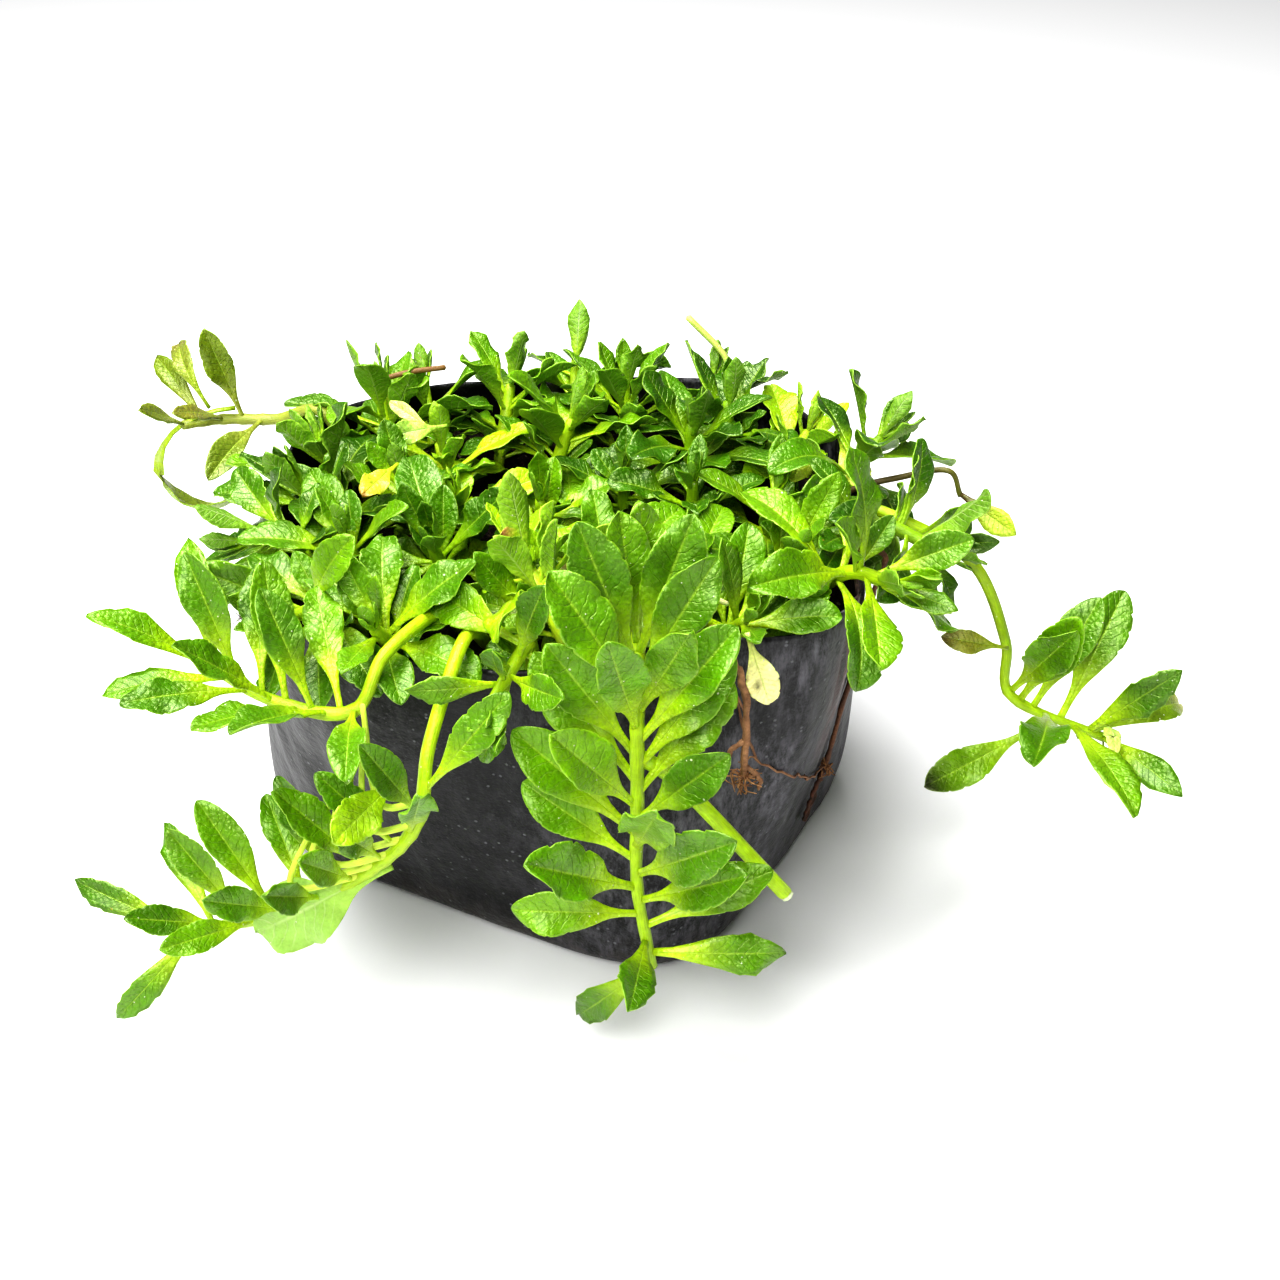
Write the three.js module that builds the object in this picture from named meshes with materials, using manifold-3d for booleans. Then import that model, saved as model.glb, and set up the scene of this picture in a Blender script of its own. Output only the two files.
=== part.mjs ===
// A creeping pot herb with toothed, spoon-shaped leaves, growing in a short black polythene nursery bag.
// Millimetres, +Z up. The origin is on the ground, under the middle of the bag.
// Each leafy stem is one solid: a round stem with its leaves' stalks sunk into it.
import * as THREE from "three";
import Module from "manifold-3d";

const wasm = await Module();
wasm.setup();

// Bag: soft black film, a rounded square at the rim and a turned square with folded corners at the base
const RIM_HEIGHT = 145;
const RIM_HALF_X = 107;
const RIM_HALF_Y = 101;
const RIM_SQUARENESS = 3.2;
const RIM_SAG = 7;
const RIM_SAG_BEARING = -2.15;
const RIM_RIPPLE = 1.6;
const BASE_HALF_X = 98;
const BASE_HALF_Y = 84;
const BASE_SQUARENESS = 5;
const BASE_TURN = -0.49;
const BASE_CENTRE = [-6, 12];
const BASE_INSET = 5;
const BULGE = 4;
const FILM = 1.4;
const BAG_SIDES = 36;
const FOOT_SHARE = 0.05;
const FOLD_DEPTH = 2.2;

// Potting soil, with a plain hole for each stem
const SOIL_HEIGHT = 121;
const SOIL_DOME = 5;
const SOIL_GAP = 0.4;
const CREST_SHARE = 0.55;
const CREST_RISE = 0.7;
const HOLE_DEPTH = 13;
const HOLE_GAP = 0.5;
const HOLE_SIDES = 3;
const BAG_LEVELS = [0.42, SOIL_HEIGHT / RIM_HEIGHT];

// Stems and leaves
const STEM_RADIUS = 2.3;
const TIP_SHARE = 0.7;
const SPAN_STEPS = 2;
const STEM_SIDES = 5;
const LEAF_TURN = THREE.MathUtils.degToRad(137.5);
const BLADE_HALF_THICKNESS = 0.65;
const STALK_HALF_THICKNESS = 1.0;
const CLEARANCE = 0.35;
const LOWEST_LEAF = 2;
const CROWN_REACH = 20;
const CURVE_STEPS = 20;
const UP = [0, 0, 1];

// A leaf's outline as [share of its length, half width as a share of its width], from the stalk to the tip.
// The two edges differ, which leaves the blade bluntly toothed and waved.
const LEAF = {
  rib: [0, 0.4],
  left: [[0, 0.026], [0.27, 0.062], [0.5, 0.19], [0.82, 0.165]],
  right: [[0, 0.026], [0.29, 0.066], [0.6, 0.212], [0.86, 0.145]],
};
const YOUNG_LEAF = {
  rib: [0, 0.42],
  left: [[0, 0.02], [0.41, 0.1], [0.68, 0.2]],
  right: [[0, 0.02], [0.4, 0.09], [0.74, 0.19]],
};
const BUD_LEAF = {
  rib: [0],
  left: [[0, 0.03], [0.56, 0.17]],
  right: [[0, 0.03], [0.66, 0.19]],
};

// How leaves grow with age, which runs from 0 for the youngest to 1 for the oldest. bud is the size that the
// youngest starts at and filling how soon the rest reach full size. A leaf opens from the stem by opening and
// then by spread, grows towards the sky by rise, and curls by curl less its age's share of uncurl. breadth is
// the width of its blade, as a share of the usual width. The rule's numbers are shares and angles in radians.
const HABITS = {
  crown: {
    bud: 0.5,
    filling: 1.9,
    opening: 0.3,
    spread: 1.3,
    ageing: 0.7,
    rise: 0.15,
    curl: 0.45,
    uncurl: 1.6,
    breadth: 0.86,
  },
  hanging: {
    bud: 0.9,
    filling: 4,
    opening: 1,
    spread: 0.3,
    ageing: 1,
    rise: 0,
    curl: -0.35,
    uncurl: 0,
    breadth: 1,
  },
};
const NARROW_SHARE = 0.8;
const SIDE_TILT = 0.6;
const SIDE_WANDER = 1.8;
const SPIRAL_WANDER = 0.5;
const SIZE_WANDER = 0.24;
const CURL_WANDER = 0.8;
const TWIST_WANDER = 1;
const WAVE_WANDER = 0.1;
const LEAST_FOLD = 0.15;
const FOLD_WANDER = 0.35;
const LEAST_GIVE = 0.4;
const CURL_POWER = 1.4;
const FOLD_START = 0.36;
const WAVE_START = 0.41;
const CROWN_FACING = { up: 0.4, axis: 0.6, outward: -0.3 };
const LEVEL_AXIS = 0.8;

// Ways to bend a leaf clear of its neighbours, tried in this order: a turn round the stem, a lift and a size
const TRY_TURNS = [0, 0.2, -0.2, 0.4, -0.4, 0.65, -0.65, 0.9, -0.9];
const TRY_LIFTS = [0, -0.2, 0.2, -0.4, 0.4, -0.6];
const TRY_SIZES = [1, 0.85, 0.7];

const TONES = { deep: 0x2f7d12, mid: 0x4f9a1c, lime: 0x86b82a, dark: 0x3b3428, dry: 0x8a5a3c };

// Stems of the crown. root is where a stem leaves the soil, over is where it passes the rim, and tip is its
// end. A narrow stem is one whose outer leaves open less. Places are chosen by eye, to the nearest 5 mm.
const CROWN_STEMS = [
  {
    name: "back_left_stem",
    root: [-30, 60],
    tip: [-25, 75, 155],
    leaves: 9,
    size: 40,
    narrow: true,
    tone: "mid",
  },
  { name: "back_centre_left_stem", root: [-10, 40], tip: [0, 45, 155], leaves: 10, size: 42, tone: "mid" },
  {
    name: "back_centre_stem",
    root: [20, 65],
    tip: [20, 75, 155],
    leaves: 9,
    size: 38,
    narrow: true,
    tone: "mid",
  },
  {
    name: "back_right_tall_stem",
    root: [45, 35],
    tip: [45, 30, 160],
    leaves: 10,
    size: 43,
    narrow: true,
    tone: "deep",
  },
  {
    name: "back_right_stem",
    root: [60, 55],
    tip: [60, 60, 155],
    leaves: 9,
    size: 40,
    narrow: true,
    tone: "deep",
  },
  { name: "back_right_yellow_stem", root: [80, 40], tip: [90, 45, 150], leaves: 8, size: 38, tone: "lime" },
  { name: "right_rim_stem", root: [85, 10], tip: [115, 20, 160], leaves: 10, size: 40, tone: "deep" },
  { name: "hidden_back_left_stem", root: [-55, 65], tip: [-60, 85, 150], leaves: 5, size: 38, tone: "mid" },
  {
    name: "hidden_back_stem",
    root: [0, 75],
    over: [0, 85, 145],
    tip: [0, 100, 155],
    leaves: 6,
    size: 38,
    tone: "mid",
  },
  { name: "hidden_back_right_stem", root: [50, 75], tip: [55, 90, 150], leaves: 5, size: 38, tone: "deep" },
  { name: "left_back_stem", root: [-70, 45], tip: [-75, 65, 155], leaves: 8, size: 42, tone: "mid" },
  { name: "left_edge_back_stem", root: [-85, 20], tip: [-95, 35, 150], leaves: 8, size: 38, tone: "mid" },
  { name: "middle_pale_stem", root: [-45, 25], tip: [-50, 35, 150], leaves: 6, size: 35, tone: "lime" },
  { name: "middle_lime_stem", root: [-35, -5], tip: [-40, -10, 150], leaves: 6, size: 35, tone: "lime" },
  { name: "middle_stem", root: [-10, 0], tip: [-10, -10, 150], leaves: 7, size: 38, tone: "mid" },
  { name: "middle_back_stem", root: [20, 15], tip: [20, 10, 150], leaves: 7, size: 36, tone: "deep" },
  { name: "middle_rosette_stem", root: [45, 0], tip: [45, -5, 155], leaves: 8, size: 33, tone: "deep" },
  { name: "front_rosette_stem", root: [15, -45], tip: [15, -60, 150], leaves: 10, size: 42, tone: "mid" },
  { name: "right_middle_stem", root: [70, -5], tip: [75, -5, 150], leaves: 7, size: 36, tone: "mid" },
  { name: "right_glossy_stem", root: [70, -35], tip: [80, -45, 150], leaves: 8, size: 43, tone: "mid" },
  {
    name: "right_rosette_stem",
    root: [80, -50],
    over: [95, -60, 150],
    tip: [110, -75, 155],
    leaves: 11,
    size: 45,
    reach: 28,
    tone: "mid",
  },
  {
    name: "right_edge_stem",
    root: [85, -25],
    over: [105, -35, 155],
    tip: [130, -45, 150],
    leaves: 9,
    size: 38,
    tone: "deep",
  },
  { name: "front_right_stem", root: [40, -45], tip: [45, -55, 150], leaves: 7, size: 38, tone: "mid" },
  { name: "front_right_rim_stem", root: [50, -70], tip: [60, -90, 150], leaves: 8, size: 42, tone: "mid" },
  { name: "left_glossy_stem", root: [-75, -10], tip: [-95, -10, 155], leaves: 8, size: 45, tone: "deep" },
  {
    name: "left_edge_stem",
    root: [-85, -30],
    over: [-95, -35, 150],
    tip: [-110, -40, 150],
    leaves: 9,
    size: 40,
    reach: 26,
    tone: "deep",
  },
  { name: "left_middle_stem", root: [-70, -35], tip: [-75, -45, 155], leaves: 7, size: 38, tone: "mid" },
  { name: "left_centre_stem", root: [-55, 0], tip: [-60, -5, 155], leaves: 7, size: 38, tone: "mid" },
  {
    name: "left_front_glossy_stem",
    root: [-40, -35],
    tip: [-45, -50, 155],
    leaves: 8,
    size: 42,
    tone: "deep",
  },
  { name: "left_front_stem", root: [-55, -75], tip: [-60, -95, 150], leaves: 9, size: 40, tone: "mid" },
  {
    name: "left_front_rim_stem",
    root: [-70, -60],
    over: [-80, -75, 145],
    tip: [-90, -90, 150],
    leaves: 9,
    size: 40,
    reach: 26,
    tone: "mid",
  },
  { name: "front_rim_stem", root: [-5, -65], tip: [-10, -85, 150], leaves: 8, size: 40, tone: "mid" },
  {
    name: "front_left_tip_stem",
    root: [-10, -85],
    over: [-10, -105, 150],
    tip: [-20, -130, 145],
    leaves: 8,
    size: 38,
    reach: 26,
    tone: "mid",
  },
  {
    name: "front_lime_stem",
    root: [5, -85],
    over: [0, -95, 150],
    tip: [-15, -70, 165],
    leaves: 6,
    size: 40,
    radius: 3,
    tone: "lime",
  },
];

// Stems that hang over the rim. reach is how far up from its end a stem bears leaves, light is where they
// turn, and rise is how strongly the older ones grow up again. cut is a pruned side shoot.
const TRAILING_STEMS = [
  {
    name: "front_trail",
    root: [20, -70],
    route: [
      [25, -95, 150],
      [25, -120, 150],
      [25, -130, 135],
      [25, -130, 105],
      [25, -135, 75],
      [30, -140, 45],
    ],
    light: [0, -0.8, 0.6],
    leaves: 26,
    reach: 125,
    rise: 2.2,
    size: 50,
    breadth: 0.8,
    tone: "mid",
    cut: { route: [[25, -130, 125], [40, -120, 105], [75, -120, 60]], radius: 2.6 },
  },
  {
    name: "left_front_trail",
    root: [-25, -70],
    route: [
      [-30, -100, 150],
      [-40, -130, 130],
      [-45, -140, 105],
      [-65, -135, 80],
      [-95, -125, 55],
      [-135, -105, 30],
    ],
    light: [0.2, -0.75, 0.6],
    leaves: 18,
    reach: 135,
    rise: 1.7,
    size: 44,
    breadth: 0.65,
    tone: "mid",
  },
  {
    name: "left_trail",
    root: [-35, -60],
    route: [
      [-40, -85, 150],
      [-55, -110, 150],
      [-65, -120, 135],
      [-90, -115, 135],
      [-115, -100, 140],
    ],
    light: [0, -0.45, 0.9],
    leaves: 13,
    reach: 55,
    rise: 0.3,
    size: 44,
    breadth: 0.7,
    tone: "mid",
  },
  {
    name: "right_trail",
    root: [85, -5],
    route: [
      [100, -15, 150],
      [120, -25, 150],
      [145, -30, 135],
      [160, -25, 100],
      [165, -25, 75],
      [200, -30, 60],
    ],
    light: [0, -0.7, 0.7],
    leaves: 8,
    reach: 40,
    rise: 1.5,
    size: 50,
    breadth: 0.75,
    tone: "mid",
  },
  {
    name: "curled_sprig",
    root: [-80, 40],
    route: [
      [-95, 50, 155],
      [-115, 55, 150],
      [-135, 55, 150],
      [-150, 50, 150],
    ],
    light: [0, -0.6, 0.8],
    leaves: 5,
    reach: 30,
    rise: 0.4,
    size: 38,
    breadth: 0.65,
    tone: "mid",
  },
  {
    name: "dark_stem",
    root: [90, 0],
    route: [
      [100, -5, 150],
      [120, -10, 160],
      [135, -15, 165],
      [140, -15, 155],
    ],
    light: [0, -0.9, 0.3],
    leaves: 1,
    reach: 1,
    rise: 0,
    size: 30,
    radius: 1.2,
    tone: "dark",
  },
];

// Dead stems and roots, which hang down the outside of the bag. A path on the film is [bearing, height].
const DRY_STEM = {
  root: [45, -80],
  route: [[50, -95, 150], [55, -110, 150], [60, -115, 135], [60, -115, 105]],
  radius: 1.4,
  spanSteps: 1,
};
const DRY_STUBS = [
  [[60, -115, 120], [55, -115, 115], [55, -115, 110]],
  [[60, -115, 110], [65, -115, 105], [65, -115, 100]],
];
const DRY_ROOT = {
  root: [90, -40],
  over: [[100, -45, 150], [110, -50, 150]],
  path: [[-0.4, 130], [-0.4, 90], [-0.4, 50]],
  radius: 1,
  spanSteps: 1,
};
const ROOT_PRONGS = [
  [[-0.4, 50], [-0.35, 35], [-0.4, 20]],
  [[-0.4, 50], [-0.45, 40], [-0.45, 25]],
];
const ROOT_THREAD = [[-1.05, 130], [-0.95, 95], [-0.75, 75], [-0.6, 60], [-0.4, 50]];
const THREAD_RADIUS = 0.6;
const ROOT_GAP = 0.9;
const THREAD_START = [60, -115, 130];

// Seeded draws, so that each build grows the same plant
function drawsFrom(seed) {
  let state = seed >>> 0;
  return () => {
    state = (Math.imul(state, 1664525) + 1013904223) >>> 0;
    return state / 4294967296;
  };
}

function solidOf(vertices, triangles) {
  const vertProperties = new Float32Array(vertices.flatMap((v) => [v.x, v.y, v.z]));
  const triVerts = new Uint32Array(triangles.flat());
  return new wasm.Manifold(new wasm.Mesh({ numProp: 3, vertProperties, triVerts }));
}

function geometryOf(solid) {
  const mesh = solid.getMesh();
  const geometry = new THREE.BufferGeometry();
  geometry.setAttribute("position", new THREE.BufferAttribute(mesh.vertProperties, 3));
  geometry.setIndex(new THREE.BufferAttribute(mesh.triVerts, 1));
  return geometry;
}

// Joins closed rings of equal count into a skin, whose ends are fans to their own points.
// From the ring numbered turned on, each quad is split along its other diagonal.
function skinOf(rings, capStart, capEnd, turned = Infinity) {
  const count = rings[0].length;
  const vertices = [...rings.flat(), capStart, capEnd];
  const first = vertices.length - 2;
  const last = vertices.length - 1;
  const triangles = [];
  for (let ring = 0; ring < rings.length - 1; ring += 1) {
    for (let i = 0; i < count; i += 1) {
      const a = ring * count + i;
      const b = ring * count + ((i + 1) % count);
      if (ring < turned) {
        triangles.push([a, b, b + count], [a, b + count, a + count]);
      } else {
        triangles.push([a, b, a + count], [b, b + count, a + count]);
      }
    }
  }
  const end = (rings.length - 1) * count;
  for (let i = 0; i < count; i += 1) {
    const next = (i + 1) % count;
    triangles.push([next, i, first], [end + i, end + next, last]);
  }
  return solidOf(vertices, triangles);
}

// Bag and soil
function roundedSquare(bearing, halfX, halfY, squareness) {
  const across = Math.abs(Math.cos(bearing)) / halfX;
  const along = Math.abs(Math.sin(bearing)) / halfY;
  return (across ** squareness + along ** squareness) ** (-1 / squareness);
}

function rimHeight(bearing) {
  const sag = Math.max(0, Math.cos(bearing - RIM_SAG_BEARING)) ** 3;
  return RIM_HEIGHT - RIM_SAG * sag + RIM_RIPPLE * Math.sin(5 * bearing + 1);
}

// The film's outer face at a bearing and a share of the height, moved in by inset
function bagPoint(bearing, share, height, inset) {
  const blend = share * share * (3 - 2 * share);
  const rim = roundedSquare(bearing, RIM_HALF_X, RIM_HALF_Y, RIM_SQUARENESS);
  const base = roundedSquare(bearing - BASE_TURN, BASE_HALF_X, BASE_HALF_Y, BASE_SQUARENESS);
  const fold = FOLD_DEPTH * share * share * Math.sin(7 * bearing + 0.6);
  const radius = base + (rim - base) * blend + BULGE * Math.sin(Math.PI * share) + fold - inset;
  const x = BASE_CENTRE[0] * (1 - share) + radius * Math.cos(bearing);
  const y = BASE_CENTRE[1] * (1 - share) + radius * Math.sin(bearing);
  return new THREE.Vector3(x, y, height);
}

function bagRing(share, height, inset) {
  const ring = [];
  for (let i = 0; i < BAG_SIDES; i += 1) {
    const bearing = (i / BAG_SIDES) * 2 * Math.PI;
    ring.push(bagPoint(bearing, share, height ?? rimHeight(bearing), inset));
  }
  return ring;
}

function bagSolid() {
  const outer = [
    bagRing(0, 0, BASE_INSET),
    bagRing(FOOT_SHARE, FOOT_SHARE * RIM_HEIGHT, 0),
    ...BAG_LEVELS.map((share) => bagRing(share, share * RIM_HEIGHT, 0)),
    bagRing(1, null, 0),
  ];
  const inner = [
    bagRing(1, null, FILM),
    ...BAG_LEVELS.map((share) => bagRing(share, share * RIM_HEIGHT, FILM)).reverse(),
    bagRing(FOOT_SHARE, FOOT_SHARE * RIM_HEIGHT, FILM),
    bagRing(0, FILM, BASE_INSET + FILM),
  ];
  const [x, y] = BASE_CENTRE;
  const under = new THREE.Vector3(x, y, 0);
  const floor = new THREE.Vector3(x, y, FILM);
  return skinOf([...outer, ...inner], under, floor, outer.length);
}

function soilSolid() {
  const inset = FILM + SOIL_GAP;
  const top = bagRing(SOIL_HEIGHT / RIM_HEIGHT, SOIL_HEIGHT, inset);
  const crestHeight = SOIL_HEIGHT + SOIL_DOME * CREST_RISE;
  const crest = top.map((p) => new THREE.Vector3(p.x * CREST_SHARE, p.y * CREST_SHARE, crestHeight));
  const rings = [
    bagRing(0, FILM + SOIL_GAP, BASE_INSET + inset),
    bagRing(FOOT_SHARE, FOOT_SHARE * RIM_HEIGHT, inset),
    ...BAG_LEVELS.slice(0, -1).map((share) => bagRing(share, share * RIM_HEIGHT, inset)),
    top,
    crest,
  ];
  const [x, y] = BASE_CENTRE;
  const floor = new THREE.Vector3(x, y, FILM + SOIL_GAP);
  return skinOf(rings, floor, new THREE.Vector3(0, 0, SOIL_HEIGHT + SOIL_DOME));
}

function holeSolid({ root: [x, y], radius = STEM_RADIUS }) {
  const corner = (radius + HOLE_GAP) / Math.cos(Math.PI / HOLE_SIDES);
  const ring = (z) =>
    Array.from({ length: HOLE_SIDES }, (_, i) => {
      const angle = (i / HOLE_SIDES) * 2 * Math.PI;
      return new THREE.Vector3(x + corner * Math.cos(angle), y + corner * Math.sin(angle), z);
    });
  const low = SOIL_HEIGHT - HOLE_DEPTH - SOIL_GAP;
  const high = SOIL_HEIGHT + 2 * SOIL_DOME;
  return skinOf([ring(low), ring(high)], new THREE.Vector3(x, y, low), new THREE.Vector3(x, y, high));
}

// A line of short straight steps along a smooth curve through a list of points, and its length up to each
function lineThrough(route, stepsPerSpan) {
  const places = route.map((p) => new THREE.Vector3(...p));
  const curve = new THREE.CatmullRomCurve3(places, false, "catmullrom", 0.5);
  const points = curve.getPoints(stepsPerSpan * (route.length - 1));
  const lengths = [0];
  for (let i = 1; i < points.length; i += 1) {
    lengths.push(lengths[i - 1] + points[i].distanceTo(points[i - 1]));
  }
  return { points, lengths, length: lengths[lengths.length - 1] };
}

// A stem comes straight up out of the soil, and then follows its route
function stemLine(stem) {
  const [x, y] = stem.root;
  const route = stem.route ?? (stem.over ? [stem.over, stem.tip] : [stem.tip]);
  const steps = stem.spanSteps ?? (route.length > 1 ? SPAN_STEPS : 1);
  return lineThrough([[x, y, SOIL_HEIGHT + SOIL_DOME + 1], ...route], steps);
}

function pointAlong(line, distance) {
  const wanted = Math.min(Math.max(distance, 0), line.length);
  let i = 1;
  while (i < line.points.length - 1 && line.lengths[i] < wanted) {
    i += 1;
  }
  const share = (wanted - line.lengths[i - 1]) / (line.lengths[i] - line.lengths[i - 1]);
  const point = line.points[i - 1].clone().lerp(line.points[i], share);
  const direction = line.points[i].clone().sub(line.points[i - 1]).normalize();
  return { point, direction };
}

function perpendicularTo(direction, wish) {
  return wish.clone().addScaledVector(direction, -wish.dot(direction)).normalize();
}

// A round rod along a line, thinning from radius to endRadius. foot is the end of a root in the soil.
function rodSolid(line, radius, endRadius, foot) {
  const { points } = line;
  const stations = points.map((point, i) => {
    const before = points[Math.max(0, i - 1)];
    const after = points[Math.min(points.length - 1, i + 1)];
    return { point, direction: after.clone().sub(before).normalize() };
  });
  if (foot) {
    stations[0].direction.set(...UP);
    stations.unshift({ point: foot, direction: new THREE.Vector3(...UP) });
  }
  let side = new THREE.Vector3(1, 0, 0);
  const rings = stations.map(({ point, direction }, index) => {
    side = perpendicularTo(direction, side);
    const other = new THREE.Vector3().crossVectors(direction, side);
    const share = index / (stations.length - 1);
    const reach = radius + (endRadius - radius) * share * share;
    return Array.from({ length: STEM_SIDES }, (_, i) => {
      const angle = (i / STEM_SIDES) * 2 * Math.PI;
      return point
        .clone()
        .addScaledVector(side, reach * Math.cos(angle))
        .addScaledVector(other, reach * Math.sin(angle));
    });
  });
  const end = stations[stations.length - 1];
  return skinOf(rings, stations[0].point, end.point.clone().addScaledVector(end.direction, endRadius));
}

function trunkSolid(stem, line) {
  const [x, y] = stem.root;
  const radius = stem.radius ?? STEM_RADIUS;
  const foot = new THREE.Vector3(x, y, SOIL_HEIGHT - HOLE_DEPTH);
  const trunk = rodSolid(line, radius, radius * TIP_SHARE, foot);
  if (!stem.cut) {
    return trunk;
  }
  return trunk.add(rodSolid(lineThrough(stem.cut.route, 1), stem.cut.radius, stem.cut.radius));
}

// Leaves
// A stem of the crown has its leaves in a spiral, and they open outwards as they age. On a hanging stem they
// stand on its two sides and turn to the light, and the older ones grow up again.
function leafPlans(stem, line) {
  const draw = drawsFrom(stem.seed);
  const wander = (range) => (draw() - 0.5) * range;
  const phase = draw() * 2 * Math.PI;
  const hanging = Boolean(stem.light);
  const habit = hanging ? HABITS.hanging : HABITS.crown;
  const light = new THREE.Vector3(...(stem.light ?? UP)).normalize();
  const reach = stem.reach ?? CROWN_REACH;
  const spread = habit.spread * (stem.narrow ? NARROW_SHARE : 1);
  return Array.from({ length: stem.leaves }, (_, index) => {
    const younger = stem.leaves - 1 - index;
    const age = younger / Math.max(1, stem.leaves - 1);
    const filled = habit.bud + (1 - habit.bud) * Math.min(1, habit.filling * age);
    const size = stem.size * filled * (1 + wander(SIZE_WANDER));
    const tilt = SIDE_TILT + wander(SIDE_WANDER);
    const onSide = index % 2 ? Math.PI - tilt : tilt;
    const onSpiral = phase + index * LEAF_TURN + wander(SPIRAL_WANDER);
    return {
      at: pointAlong(line, line.length - reach * age - 1),
      light,
      hanging,
      size,
      form: younger > 2 ? LEAF : hanging || younger === 2 ? YOUNG_LEAF : BUD_LEAF,
      bearing: hanging ? onSide : onSpiral,
      opening: habit.opening + spread * age ** habit.ageing,
      give: LEAST_GIVE + (1 - LEAST_GIVE) * age,
      rise: habit.rise + (stem.rise ?? 0) * Math.sqrt(age),
      breadth: stem.breadth ?? habit.breadth,
      curl: habit.curl - habit.uncurl * age + wander(CURL_WANDER),
      twist: wander(TWIST_WANDER),
      wave: wander(WAVE_WANDER),
      fold: LEAST_FOLD + FOLD_WANDER * draw(),
      flip: draw() < 0.5 ? -1 : 1,
    };
  });
}

// The middle line of a leaf, turned, lifted and shrunk to bend it clear
function leafLine(plan, turn, lift, sizeShare) {
  const { at, light, hanging } = plan;
  const up = new THREE.Vector3(...UP);
  const axis = at.direction;
  const sideways = Math.abs(axis.x) < LEVEL_AXIS ? new THREE.Vector3(1, 0, 0) : new THREE.Vector3(0, 1, 0);
  const north = perpendicularTo(axis, hanging ? light : sideways);
  const east = new THREE.Vector3().crossVectors(north, axis);
  const bearing = plan.bearing + turn;
  const outward = east.multiplyScalar(Math.cos(bearing)).addScaledVector(north, Math.sin(bearing));
  const opening = plan.opening + lift * plan.give;
  const start = axis
    .clone()
    .multiplyScalar(Math.cos(opening))
    .addScaledVector(outward, Math.sin(opening))
    .addScaledVector(up, plan.rise)
    .normalize();
  const crownWish = up
    .multiplyScalar(CROWN_FACING.up)
    .addScaledVector(axis, CROWN_FACING.axis)
    .addScaledVector(outward, CROWN_FACING.outward);
  const facing = perpendicularTo(start, hanging ? light : crownWish);
  const length = plan.size * sizeShare;
  const points = [at.point.clone()];
  for (let i = 0; i < CURVE_STEPS; i += 1) {
    const angle = plan.curl * ((i + 0.5) / CURVE_STEPS) ** CURL_POWER;
    const step = start.clone().multiplyScalar(Math.cos(angle)).addScaledVector(facing, Math.sin(angle));
    points.push(points[i].clone().addScaledVector(step, length / CURVE_STEPS));
  }
  return { points, facing, width: length * plan.breadth };
}

// A point of a leaf, by its share of the length, its distance to the side and its height over the middle line
function leafPoint(line, plan, share, sideways, raised) {
  const place = share * CURVE_STEPS;
  const i = Math.min(Math.floor(place), CURVE_STEPS - 1);
  const point = line.points[i].clone().lerp(line.points[i + 1], place - i);
  const along = line.points[i + 1].clone().sub(line.points[i]).normalize();
  const normal = perpendicularTo(along, line.facing);
  const flat = new THREE.Vector3().crossVectors(along, normal);
  const turned = plan.twist * share;
  const across = flat.clone().multiplyScalar(Math.cos(turned)).addScaledVector(normal, Math.sin(turned));
  const top = normal.multiplyScalar(Math.cos(turned)).addScaledVector(flat, -Math.sin(turned));
  return point.addScaledVector(across, sideways).addScaledVector(top, raised);
}

// Triangles between two lines of a leaf, each a list of { share, id }, in the order of their shares
function strip(first, second) {
  const triangles = [];
  let i = 0;
  let j = 0;
  while (i < first.length - 1 || j < second.length - 1) {
    const nextFirst = first[i + 1]?.share ?? Infinity;
    const nextSecond = second[j + 1]?.share ?? Infinity;
    if (nextFirst < nextSecond) {
      triangles.push([first[i].id, second[j].id, first[i + 1].id]);
      i += 1;
    } else {
      triangles.push([first[i].id, second[j].id, second[j + 1].id]);
      j += 1;
    }
  }
  return triangles;
}

// A blade with a raised rib above and below, thinning to its edges. extra thickens it for the clearance test.
function leafSolid(line, plan, extra) {
  const { rib, left, right } = plan.form;
  const vertices = [];
  const add = (share, point) => {
    vertices.push(point);
    return { share, id: vertices.length - 1 };
  };
  const edge = (outline, hand) =>
    outline.map(([share, half], index) => {
      const width = half * line.width;
      const wave = share > WAVE_START ? plan.wave * line.width * (index % 2 ? 1 : -1) : 0;
      const height = share > FOLD_START ? plan.fold * width + wave * hand : 0;
      return add(share, leafPoint(line, plan, share, hand * (width + extra), height));
    });
  const ridge = (hand) =>
    rib.map((share, index) => {
      const half = (index === 1 ? STALK_HALF_THICKNESS : BLADE_HALF_THICKNESS) + extra;
      return add(share, leafPoint(line, plan, share, 0, hand * half));
    });
  const outlines = plan.flip > 0 ? [left, right] : [right, left];
  const lines = [edge(outlines[0], 1), ridge(-1), edge(outlines[1], -1), ridge(1)];
  const last = line.points.length - 1;
  const onward = line.points[last].clone().sub(line.points[last - 1]).normalize();
  const tip = add(1, line.points[last].clone().addScaledVector(onward, extra));
  const base = add(0, line.points[0]);
  const triangles = lines.flatMap((first, k) => {
    const second = lines[(k + 1) % lines.length];
    return [
      [second[0].id, first[0].id, base.id],
      ...strip(first, second),
      [first[first.length - 1].id, second[second.length - 1].id, tip.id],
    ];
  });
  return solidOf(vertices, triangles);
}

function boxesMeet(a, b) {
  return [0, 1, 2].every((i) => a.min[i] <= b.max[i] && b.min[i] <= a.max[i]);
}

function meets(solid, box, others) {
  return others.some((other) => boxesMeet(box, other.box) && !solid.intersect(other.solid).isEmpty());
}

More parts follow.
